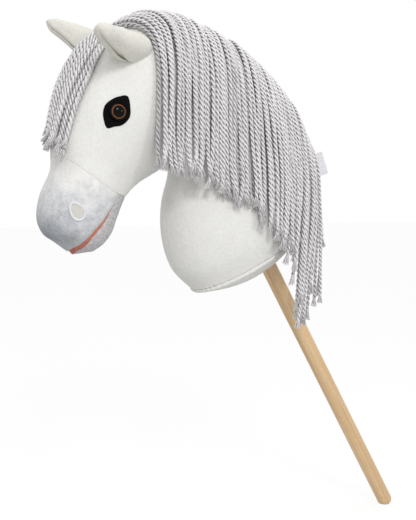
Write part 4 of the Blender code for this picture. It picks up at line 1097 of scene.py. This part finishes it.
def make_nostril(word, side):
    """Cream patch of a nostril in a border of satin stitches."""
    frame_at = skin_frame(NOSTRIL_ROW, side * NOSTRIL_ANGLE)
    felt_patch("nostril_felt_" + word, frame_at, nostril_outline(-0.1, 90), 0.5 * FELT, NOSTRIL_FELT,
               "cream_plush", "nostril_" + word)
    inner, middle, outer = (nostril_outline(grow, STITCHES)
                            for grow in (-0.1, NOSTRIL_BORDER * 0.5, NOSTRIL_BORDER))
    stitches = []
    for k in range(STITCHES):
        path = [laid_ring(frame_at, [outline[(k + slant) % STITCHES]], height)[0]
                for outline, slant, height in ((inner, 0, 0.1), (inner, 0, 0.75), (middle, 1, 1.15),
                                               (outer, 2, 0.75), (outer, 2, 0.1))]
        stitches.append(tube(np.array(path), STITCH_RADIUS, STITCH_SIDES))
    piece = join_tubes("nostril_stitches_" + word, stitches, STITCH_SIDES, WHITE_THREAD, "head")
    stand_for(piece, "white_thread", "nostril_border_" + word)


# Tubes: many closed round strands in one piece

def carried_side(tangent):
    """Side directions along a path, carried without twist."""
    side = np.zeros_like(tangent)
    start = np.cross(tangent[0], (0.0, 0.0, 1.0))
    if np.linalg.norm(start) < 0.2:
        start = np.cross(tangent[0], (0.0, 1.0, 0.0))
    side[0] = unit(start)
    for k in range(1, len(tangent)):
        side[k] = square_to(side[k - 1], tangent[k])
    return side


def tube(path, radii, sides, out=None, lay=None):
    """Points, quads and lay of a tube; out is the direction of its first points."""
    tangent = tangents(path)
    side = carried_side(tangent) if out is None else square_to(out, tangent)
    up = np.cross(tangent, side)
    turn = np.radians(full_turn(sides))[None, :, None]
    ring = np.cos(turn) * side[:, None] + np.sin(turn) * up[:, None]
    points = path[:, None] + ring * np.broadcast_to(radii, len(path))[:, None, None]
    return points.reshape(-1, 3), grid_faces(len(path), sides, wrap=True), lay


def tube_lay(along, around, tone):
    """Lay of a tube's points for the yarn: distance along, place around and a tone."""
    along, around = grid(along, around)
    return np.stack([along, around, np.full(along.shape, tone)], axis=-1).reshape(-1, 3)


def join_tubes(name, tubes, sides, material, body=None):
    """One piece from many tubes, each closed by a flat face at both ends."""
    faces = []
    offset = 0
    for points, quads, _ in tubes:
        faces += (quads + offset).tolist()
        faces.append(list(range(offset + sides - 1, offset - 1, -1)))
        offset += len(points)
        faces.append(list(range(offset - sides, offset)))
    points, quads, lay = tubes[0]
    if signed_volume(points - points.mean(axis=0), quads) < 0:
        faces = [f[::-1] for f in faces]
    piece = add_piece(name, np.concatenate([part[0] for part in tubes]), faces, material, body)
    if lay is not None:
        attribute = piece.data.attributes.new("lay", "FLOAT_VECTOR", "POINT")
        values = np.concatenate([part[2] for part in tubes])
        attribute.data.foreach_set("vector", values.astype(np.float32).ravel())
    return piece


# Ears

def ear_frame(ear):
    """Base place and the aim, opening and width directions of an ear."""
    aim = unit(ear["aim"])
    opening = square_to(ear["opening"], aim)
    return skin(ear["row"], ear["side"] * EAR_ANGLE, 0.0), aim, opening, np.cross(aim, opening)


def ear_radius(share):
    """Radius along the ear: it narrows to a blunt tip with rounded corners."""
    taper = 1.0 - share ** EAR_TAPER
    corner = np.maximum((share - EAR_CORNER) / (1.0 - EAR_CORNER), 0.0)
    return (EAR_TIP_RADIUS + (EAR_RADIUS - EAR_TIP_RADIUS) * taper) * (1.0 - EAR_CORNER_CUT * corner ** 2)


def ear_bell(share, height, place, length):
    """A smooth rise of a height round a place along the ear."""
    return height * np.exp(-((share - place) / length) ** 2)


def ear_grid(ear, end, inset, narrow, parted):
    """Grid of one face of the rolled leaf, with its rows and columns crowded at the rims."""
    root, aim, opening, width = ear_frame(ear)
    rows, cols = EAR_GRID
    share, across = grid(end * (1 - np.linspace(1.0, 0.0, rows) ** 1.7),
                         np.sin(np.linspace(-0.5, 0.5, cols) * np.pi))
    centre = (root + aim * (EAR_LENGTH * share - EAR_SINK * (1 - share))[..., None]
              - opening * (ear["bend"] * share ** 2)[..., None])
    tip = np.clip((share - ear["end"]) / EAR_ROUND_TIP + 1.0, 0.0, 0.9995)
    radius = (ear_radius(share) - inset) * np.sqrt(1.0 - tip ** 2)
    turn = np.radians((EAR_SHUT - parted * ear_bell(share, *ear["slit"])) * narrow * across)
    drop = ear_bell(share, *ear["drop"]) * np.abs(across) ** 3
    return (centre + opening * (drop - radius * EAR_DEPTH * np.cos(turn))[..., None]
            + width * (radius * np.sin(turn))[..., None])


def rolled_leaf(name, ear, end, inset, thickness, narrow, puff, parted, material):
    """Closed leaf with soft rounded rims and uneven pile."""
    outer = ear_grid(ear, end, inset, narrow, parted)
    inner = ear_grid(ear, end, inset + thickness, narrow, parted)
    rim = np.minimum.reduce(np.broadcast_arrays(*sheet_lengths(outer)[1:]))
    out = unit(outer - inner)
    thick = np.linalg.norm(outer - inner, axis=-1)
    swell = puff * np.minimum(thick / thickness, 1.0) * np.exp(-((rim - EAR_RIM) / EAR_RIM) ** 2)
    swell = swell[..., None]
    lumps = noise_at(outer, EAR_LUMP_SIZE, 3.0) * EAR_LUMP_HEIGHT
    pile = lumps + noise_at(outer, PILE_SIZE, 9.0) * PILE_HEIGHT
    outer = outer + out * (EAR_PUFF_OUT * swell + pile[..., None])
    inner = inner - out * (1 - EAR_PUFF_OUT) * swell
    close = (1 - np.sqrt(1 - fade(rim, EAR_RIM) ** 2))[..., None]
    outer, inner = (face + ((outer + inner) / 2 - face) * close for face in (outer, inner))
    return closed_sheet(name, outer, inner, material, None)


def make_ear(word, ear):
    """Plush ear and its lining."""
    end = ear["end"]
    cloth = rolled_leaf("ear_plush_" + word, ear, end, 0.0, EAR_CLOTH, 1.0, EAR_PUFF, 1.0, CREAM_PLUSH)
    # The lining's pale cream is partly painted light in the ear's hollow
    lining = rolled_leaf("ear_inner_" + word, ear, end - EAR_LINING_SHORT, EAR_CLOTH + EAR_LINING_SEAT,
                         EAR_LINING, EAR_LINING_WIDTH, 0.0, 0.0, CREAM_LINING_PAINTED_LIGHT)
    root, aim, _, _ = ear_frame(ear)
    start, end = (tuple(metres(root + aim * reach)) for reach in EAR_BLEND)
    for piece, node in ((cloth, "ear_outer_" + word), (lining, "ear_lining_" + word)):
        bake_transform(piece)
        stand_for(piece, "cream_plush", node)


# Mane and forelock

MANE_TREE = form_tree(0.0, 9.6, 150, CORD_SEAT)


def crest_height(x, above=900.0):
    """Height of the raised crest above a place along X."""
    return MANE_TREE.ray_cast(Vector((x, 0.0, above)), Vector((0.0, 0.0, -1.0)))[0].z


def drape_line(root_x, lead, drift, start_turn):
    """Curve of a cord from beyond the crest over the left side, and down where nothing carries it."""
    middle = crest_height(root_x - lead) - DRAPE_DROP
    points = []
    for turn in np.arange(start_turn, 91.0, DRAPE_TURN):
        x = root_x - lead * fade(turn, LEAD_TURN) ** 2
        angle = math.radians(turn)
        aim = Vector((0.0, -math.sin(angle), math.cos(angle)))
        points.append(np.array(MANE_TREE.ray_cast(Vector((x, 0.0, middle)), aim)[0]))
    outermost = min(p[1] for p in points)
    for down in DRAPE_STEP * np.arange(1, DRAPE_STEPS + 1):
        x = root_x + drift * eased(down / DRIFT_REACH)
        hit = MANE_TREE.ray_cast(Vector((x, 0.0, middle - down)), Vector((0.0, -1.0, 0.0)))[0]
        if hit is not None:
            outermost = min(outermost, hit.y)
        points.append(np.array([x, outermost, middle - down]))
    return np.array(points)


def resample(line, step, length):
    """Points at even steps along a line, as far as a length, and their distances along it."""
    runs = runs_along(line)
    length = min(length, runs[-1])
    at = np.linspace(0.0, length, max(int(length / step), 4))
    return np.stack([np.interp(at, runs, line[:, k]) for k in range(3)], axis=-1), at


def smoothed(line, passes):
    """Line with its corners eased."""
    for _ in range(passes):
        line = np.concatenate([line[:1], (line[:-2] + 2 * line[1:-1] + line[2:]) / 4, line[-1:]])
    return line


def reach_down_to(line, height):
    """Length along a hanging line down to a height."""
    last = int(np.nonzero(line[:, 2] > height)[0][-1])
    return float(runs_along(line)[last] + line[last, 2] - height)


def cord_parts(line, outward, seed, tones):
    """Two plies wound round a line, with their lay: distance along, place around and a tone."""
    draw = np.random.default_rng(seed)
    tangent = tangents(line)
    outward = square_to(outward, tangent)
    right = np.cross(outward, tangent)
    runs = runs_along(line)
    lay = CORD_LAY * draw.uniform(0.88, 1.12)
    phase = draw.uniform(0.0, 2 * np.pi)
    # Random tone within the layer's range; the under layer's darker range is painted shade
    tone = draw.uniform(*tones)
    turn = 2 * np.pi * runs / lay + phase + 0.5 * np.sin(runs / 19.0 + phase)
    tightness = 1.0 + 0.05 * np.sin(runs / 7.0 + 2 * phase)
    radii = np.full(len(line), PLY_RADIUS)
    radii[-6:] *= np.linspace(1.0, 0.72, 6)
    # Place round the ply, which the yarn darkens as painted shade towards the valleys
    place = tube_lay(runs, np.abs(np.arange(PLY_SIDES) / PLY_SIDES * 2 - 1), tone)
    parts = []
    for angle in (turn, turn + np.pi):
        out = np.cos(angle)[:, None] * outward + np.sin(angle)[:, None] * right
        parts.append(tube(line + out * (PLY_HELIX * tightness)[:, None], radii, PLY_SIDES, out, place))
    return parts


def tassel_parts(tip, direction, outward, seed):
    """Frayed end of a cord: fine hairs that flare out from the tip like a brush."""
    draw = np.random.default_rng(seed + 9000)
    direction = unit(direction + draw.normal(0.0, 0.13, 3))
    outward = square_to(outward, direction)
    right = np.cross(outward, direction)
    full = TASSEL_LENGTH * draw.uniform(0.8, 1.15)
    wide = draw.uniform(0.8, 1.25)
    t = np.linspace(0.0, 1.0, HAIR_POINTS)
    radii = HAIR_RADIUS * np.linspace(1.5, 0.8, HAIR_POINTS)
    parts = []
    for _ in range(TASSEL_HAIRS):
        angle = draw.uniform(0.0, 2 * np.pi)
        reach = math.sqrt(draw.uniform(0.0, 1.0))
        out = math.cos(angle) * outward + math.sin(angle) * right
        length = full * draw.uniform(0.8, 1.05)
        flare = reach * (HAIR_FLARE[0] + HAIR_FLARE[1] * wide * t ** 1.3)
        wiggle = HAIR_WIGGLE * np.sin(t * draw.uniform(5.0, 11.0) + angle) * t
        path = (tip + direction * (length * t - TASSEL_SINK)[:, None] + out * flare[:, None]
                + np.cross(direction, out) * wiggle[:, None])
        # Place round each hair, for the yarn's painted shade between the plies, and a random tone
        lay = tube_lay(length * t, np.arange(HAIR_SIDES) / HAIR_SIDES + 0.3, draw.uniform(0.3, 1.0))
        parts.append(tube(path, radii, HAIR_SIDES, lay=lay))
    return parts


def outward_of(line, axis, away):
    """Directions square to a line and an axis, on the side that faces away from the horse."""
    outward = unit(np.cross(tangents(line), axis))
    return outward * np.where(outward @ away < 0, -1.0, 1.0)[:, None]


def wave(draw, runs, height, size):
    """Waves of a height and size along a cord, from a random start."""
    return height * np.sin(runs / size + draw.uniform(0, 6.3))


def mane_cord(root_x, lift, layer, number):
    """Line and outward directions of one cord of the mane."""
    draw = np.random.default_rng(500 * layer + number)
    progress = (root_x - MANE_FRONT) / (MANE_REAR - MANE_FRONT)
    line = smoothed(drape_line(root_x, MANE_LEAD * fade(progress, MANE_LEAD_SHARE),
                               MANE_REAR_DRIFT * progress ** 6, draw.uniform(-11.0, -8.0)), 4)
    height = read_curve(progress, MANE_TIPS) + 0.8 * TASSEL_LENGTH + draw.uniform(-4.0, 5.0)
    height += UNDER_SHORTENING * (1 - layer)
    stepped = draw.uniform(0.0, 1.0) * draw.choice((0.0, 1.0, 1.0))
    height += TAIL_STEPS * stepped * read_curve(progress, TAIL_START)
    line, runs = resample(line, PLY_STEP, reach_down_to(line, height))
    outward = outward_of(line, (1.0, 0.0, 0.0), (0.0, -1.0, 1.0))
    share = runs / runs[-1]
    sway = np.clip(draw.normal(0.0, 1.0), -SWAY_LIMIT, SWAY_LIMIT) * SWAY[layer] * share ** 2
    sway = sway + wave(draw, runs, *SWAY_WAVE)
    kick = draw.uniform(-1.0, 1.0) * END_KICK * reached(share - 0.85, 0.15) ** 2
    stand = lift + draw.uniform(-1.1, 1.3) + wave(draw, runs, *STAND_WAVE) * reached(share, 0.25)
    stand = stand * (1 - 0.35 * fade(runs, 12.0))
    rise = read_curve(progress, ROOT_RISES) * fade(runs, ROOT_RISE_REACH) ** 1.5
    line = line + outward * (stand + rise)[:, None]
    line[:, 0] += sway + kick * (1 - progress / 2) - read_curve(progress, TAIL_LEAN) * share ** 2.2
    return line, outward


def add_cords(name, cords, nodes, seed):
    """One piece of cords and one of their frayed ends."""
    plies = []
    hairs = []
    for number, (line, outward) in enumerate(cords):
        plies += cord_parts(line, outward, seed + number, UNDER_TONES_PAINTED_SHADE if nodes else TOP_TONES)
        hairs += tassel_parts(line[-1], line[-1] - line[-4], outward[-1], seed + number)
    piece = join_tubes(name, plies, PLY_SIDES, GREY_YARN)
    ends = join_tubes(name + "_ends", hairs, HAIR_SIDES, FRAYED_YARN)
    for item in (piece, ends):
        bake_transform(item)
    if nodes:
        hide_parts(*nodes)


def make_mane():
    """Two layers of cords for each section of the mane."""
    span = (MANE_REAR - MANE_FRONT) / MANE_SECTIONS
    for section in range(MANE_SECTIONS):
        front = MANE_FRONT + span * section
        middle = front + span / 2
        crest = crest_height(middle)
        locks = ["mane_lock_%d" % (2 * section + 1), "mane_lock_%d" % (2 * section + 2)]
        for layer, word, lift, shift in MANE_LAYERS:
            cords = []
            for k in range(CORDS_PER_SECTION):
                number = section * CORDS_PER_SECTION + k
                loose = 0.16 * math.sin(2.7 * number + 1.9 * layer)
                root_x = front + span * (k + 0.25 + shift + loose) / CORDS_PER_SECTION
                cords.append(mane_cord(root_x, lift, layer, number))
            add_cords("mane_cords_%d_%s" % (section + 1, word), cords,
                      [] if layer else locks, 1000 * layer + 100 * section)


def forelock_line(across, lift, reach):
    """Points down the forehead at a distance from its middle, spreading as they go."""
    share = np.linspace(0.0, 1.0, FORELOCK_POINTS)
    row = FORELOCK_ROOT_ROW + FORELOCK_ROWS * share
    run = reached(reach * share, FORELOCK_SPREAD)
    far = (across - FORELOCK_EDGES[0]) / (FORELOCK_EDGES[1] - FORELOCK_EDGES[0])
    root_share = np.interp(far, (0.0, 1.0), FORELOCK_ROOT_SHARES)
    side = across * (root_share + (1.0 - root_share) * run)
    bow = np.sin(np.pi * reached(reach * share, FORELOCK_RISE_END) ** 0.5)
    near = np.interp(far, (0.0, 0.35), (FORELOCK_NEAR_LIFT, 1.0))
    height = CORD_SEAT + (FORELOCK_LIFT - CORD_SEAT) * run + lift * near + FORELOCK_RISE * far * bow
    return skin(row, -np.degrees(np.arcsin(side / section_at(row)[:, 4])), height)


def make_forelock():
    """Two layers of cords over the forehead."""
    low, high = FORELOCK_EDGES
    for layer, word, lift in FORELOCK_LAYERS:
        cords = []
        for k in range(FORELOCK_CORDS):
            draw = np.random.default_rng(7000 + FORELOCK_CORDS * layer + k)
            across = low + (high - low) * (k + 0.5 + 0.3 * layer * draw.uniform(-1, 1)) / FORELOCK_CORDS
            reach = FORELOCK_LENGTH + 5.0 * math.sin(2.1 * k) + draw.uniform(-5.0, 3.0)
            line = forelock_line(across, lift + draw.uniform(-0.4, 0.4), reach)
            line, runs = resample(smoothed(line, 3), PLY_STEP, reach)
            outward = outward_of(line, (0.0, 1.0, 0.0), (-1.0, 0.0, 1.0))
            line[:, 1] += wave(draw, runs, 1.0, 23.0) * reached(runs, 40.0)
            line[:, 1] += draw.uniform(-3.0, 3.0) * (runs / reach) ** 3
            cords.append((line, outward))
        add_cords("forelock_cords_" + word, cords,
                  [] if layer else ["forelock_lock_1", "forelock_lock_2"], 5000 + 100 * layer)


def make_mane_tape():
    """Cotton tape along the crest, over the panels' seam."""
    row, across = grid(np.linspace(TAPE_REAR_ROW, TAPE_FRONT_ROW, 160), np.linspace(-1.0, 1.0, 15))
    angle = across * TAPE_HALF_WIDTH / np.linalg.norm(skin_slopes(row, 0.0 * across)[1], axis=-1)
    outer = skin(row, angle, GAP + TAPE_THICKNESS * (1 - 0.3 * across ** 4))
    stand_for(closed_sheet("crest_tape", outer, skin(row, angle, GAP / 2), COTTON), "cotton", "mane_tape")


# Label

def make_label():
    """Unprinted ribbon loop that stands out of the crest seam."""
    root = skin(LABEL_ROW, 0.0, GAP)
    along = unit(skin_slopes(LABEL_ROW, 0.0)[0])
    out = unit(np.array([along[2], 0.0, -along[0]]))
    half = LABEL_LOOP / 2 + LABEL_RIBBON
    run = LABEL_LENGTH - half
    spans = np.linspace(-LABEL_WIDTH / 2, LABEL_WIDTH / 2, 30)
    bend = np.radians(np.arange(15.0, 180.0, 15.0))
    straight = np.linspace(LABEL_ROOT, run, 24)
    grids = []
    for reach in (half, LABEL_LOOP / 2):
        outwards = np.concatenate([straight, run + reach * np.sin(bend), straight[::-1]])
        sideways = reach * np.concatenate([np.ones(24), np.cos(bend), -np.ones(24)])
        curl = LABEL_CURL * np.sin(spans / LABEL_WIDTH * 3.0)[:, None] * (outwards / run) ** 2
        face = root + out * outwards[:, None] + along * spans[:, None, None]
        face[..., 1] += sideways + curl
        grids.append(face)
    piece = closed_sheet("label_ribbon", *grids, RIBBON)
    stand_for(piece, "white_ribbon", "label")


# Stick and what is inside

def make_stick():
    """Beech dowel with a rounded foot, turned in its own frame so that the grain runs along it."""
    top = STICK_LENGTH - STICK_TOP_EDGE
    profile = [(0.0, STICK_LENGTH), (STICK_RADIUS - STICK_TOP_EDGE, STICK_LENGTH)]
    profile += [(STICK_RADIUS, top - (top - STICK_FOOT_ROUND) * k / STICK_RINGS)
                for k in range(STICK_RINGS)]
    profile += [(STICK_FOOT_FLAT + (STICK_RADIUS - STICK_FOOT_FLAT) * math.cos(turn),
                 STICK_FOOT_ROUND * (1 - math.sin(turn)))
                for turn in np.radians(np.linspace(0.0, 90.0, 13))]
    stick = turned("stick_wood", profile + [(0.0, 0.0)], BEECH, (0.0, 0.0, 0.0), STICK_AIM, 72)
    stand_for(stick, "beech", "stick")


def make_wadding():
    """Stuffing of the neck, head and muzzle: full pads with a soft uneven surface."""
    for place, fill in PADS:
        node = "stuffing_" + place
        piece = add_object("wadding_" + place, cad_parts[node].data.copy())
        apply_step(piece, "REMESH", mode="VOXEL", voxel_size=metres(WADDING_PITCH))
        mesh = piece.data
        points = np.array([v.co for v in mesh.vertices]) * 1000.0
        normals = np.array([v.normal for v in mesh.vertices])
        back = WADDING_BACK + WADDING_LUMP * noise_at(points, WADDING_LUMP_SIZE, 2.0)
        points = points - normals * back[:, None]
        mesh.vertices.foreach_set("co", metres(points + dent(points)).astype(np.float32).ravel())
        mesh.materials.clear()
        mesh.materials.append(WADDING)
        mesh.shade_smooth()
        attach(piece, "head")
        stand_for(piece, "wadding", node)


def dress_inner_nodes():
    """Finishes of the pieces that stay inside the head."""
    finishes = {"stick_sleeve": COTTON, "sleeve_tie": CLEAR_PLASTIC, "stick_end_cap": CLEAR_PLASTIC,
                "eye_washer_left": CLEAR_PLASTIC, "eye_washer_right": CLEAR_PLASTIC}
    for node, material in finishes.items():
        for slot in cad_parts[node].material_slots:
            slot.material = material


# Stage, light and camera

def show_behind(tree, plain, seen, share, output):
    """Swap one shader for another by a share, for the rays that show the background.

    These are the camera's rays, and those off gloss or through glass.
    """
    rays = add_node(tree, "ShaderNodeLightPath").outputs
    clear = calculate(tree, "MAXIMUM", rays["Is Glossy Ray"], rays["Is Transmission Ray"])
    factor = calculate(tree, "MULTIPLY", calculate(tree, "MAXIMUM", rays["Is Camera Ray"], clear), share)
    mix = add_node(tree, "ShaderNodeMixShader", {"Fac": factor, 1: plain, 2: seen})
    tree.links.new(mix.outputs["Shader"], tree.nodes[output].inputs["Surface"])


def make_stage():
    """Pale floor that keeps the shadow."""
    mesh = bpy.data.meshes.new("floor")
    reach = metres(FLOOR_REACH)
    corners = [(-reach, -reach, 0), (reach, -reach, 0), (reach, reach, 0), (-reach, reach, 0)]
    mesh.from_pydata(corners, [], [(0, 1, 2, 3)])
    material = make_material("floor", lambda tree: (FLOOR_GREY, None), shader_finish(1.0), 0.0)
    tree = material.node_tree
    glow = add_node(tree, "ShaderNodeEmission", {"Strength": FLOOR_GLOW}).outputs["Emission"]
    plain = tree.nodes["Principled BSDF"].outputs["BSDF"]
    show_behind(tree, plain, glow, FLOOR_GLOW_SHARE, "Material Output")
    mesh.materials.append(material)
    add_object("floor", mesh)


def make_world():
    """Even light all round, white where the camera sees it."""
    world = bpy.data.worlds.new("studio")
    bpy.context.scene.world = world
    world.use_nodes = True
    tree = world.node_tree
    ground = tree.nodes["Background"]
    feed(tree, ground.inputs["Color"], SURROUND)
    feed(tree, ground.inputs["Strength"], SURROUND_STRENGTH)
    seen = add_node(tree, "ShaderNodeBackground", {"Color": WHITE})
    show_behind(tree, ground.outputs["Background"], seen.outputs["Background"], 1.0, "World Output")


def make_lights():
    """Square soft lamps: a key from the upper left of the view, a fill from the right, and one on top."""
    for name, place_at, size, power in LAMPS:
        light = bpy.data.lights.new(name, "AREA")
        light.size = metres(size)
        light.energy = power
        aim = (Vector(LAMP_TARGET) - Vector(place_at)).to_track_quat("-Z", "Y")
        lamp = add_object(name, light)
        lamp.matrix_world = Matrix.Translation(metres(Vector(place_at))) @ aim.to_matrix().to_4x4()


def make_camera():
    """Camera at the photograph's viewing angle."""
    turn = math.radians(CAMERA_AZIMUTH)
    drop = math.radians(CAMERA_DROP)
    right = Vector((math.cos(turn), -math.sin(turn), 0.0))
    forward = Vector((math.sin(turn) * math.cos(drop), math.cos(turn) * math.cos(drop), -math.sin(drop)))
    data = bpy.data.cameras.new("camera")
    data.sensor_width = SENSOR
    data.lens = LENS
    data.clip_start = 0.01
    camera = add_object("camera", data)
    axes = Matrix((right, right.cross(forward), -forward)).transposed().to_4x4()
    camera.matrix_world = Matrix.Translation(metres(Vector(CAMERA_PLACE))) @ axes
    bpy.context.scene.camera = camera


make_camera()
make_side_skins()
make_base_skin()
make_muzzle()
for word, side in SIDES:
    make_eye(word, side)
    make_nostril(word, side)
for word, ear in EARS.items():
    make_ear(word, ear)
make_mane()
make_forelock()
make_mane_tape()
make_label()
make_stick()
make_wadding()
dress_inner_nodes()
make_stage()
make_world()
make_lights()
bpy.context.scene.view_settings.view_transform = "Standard"
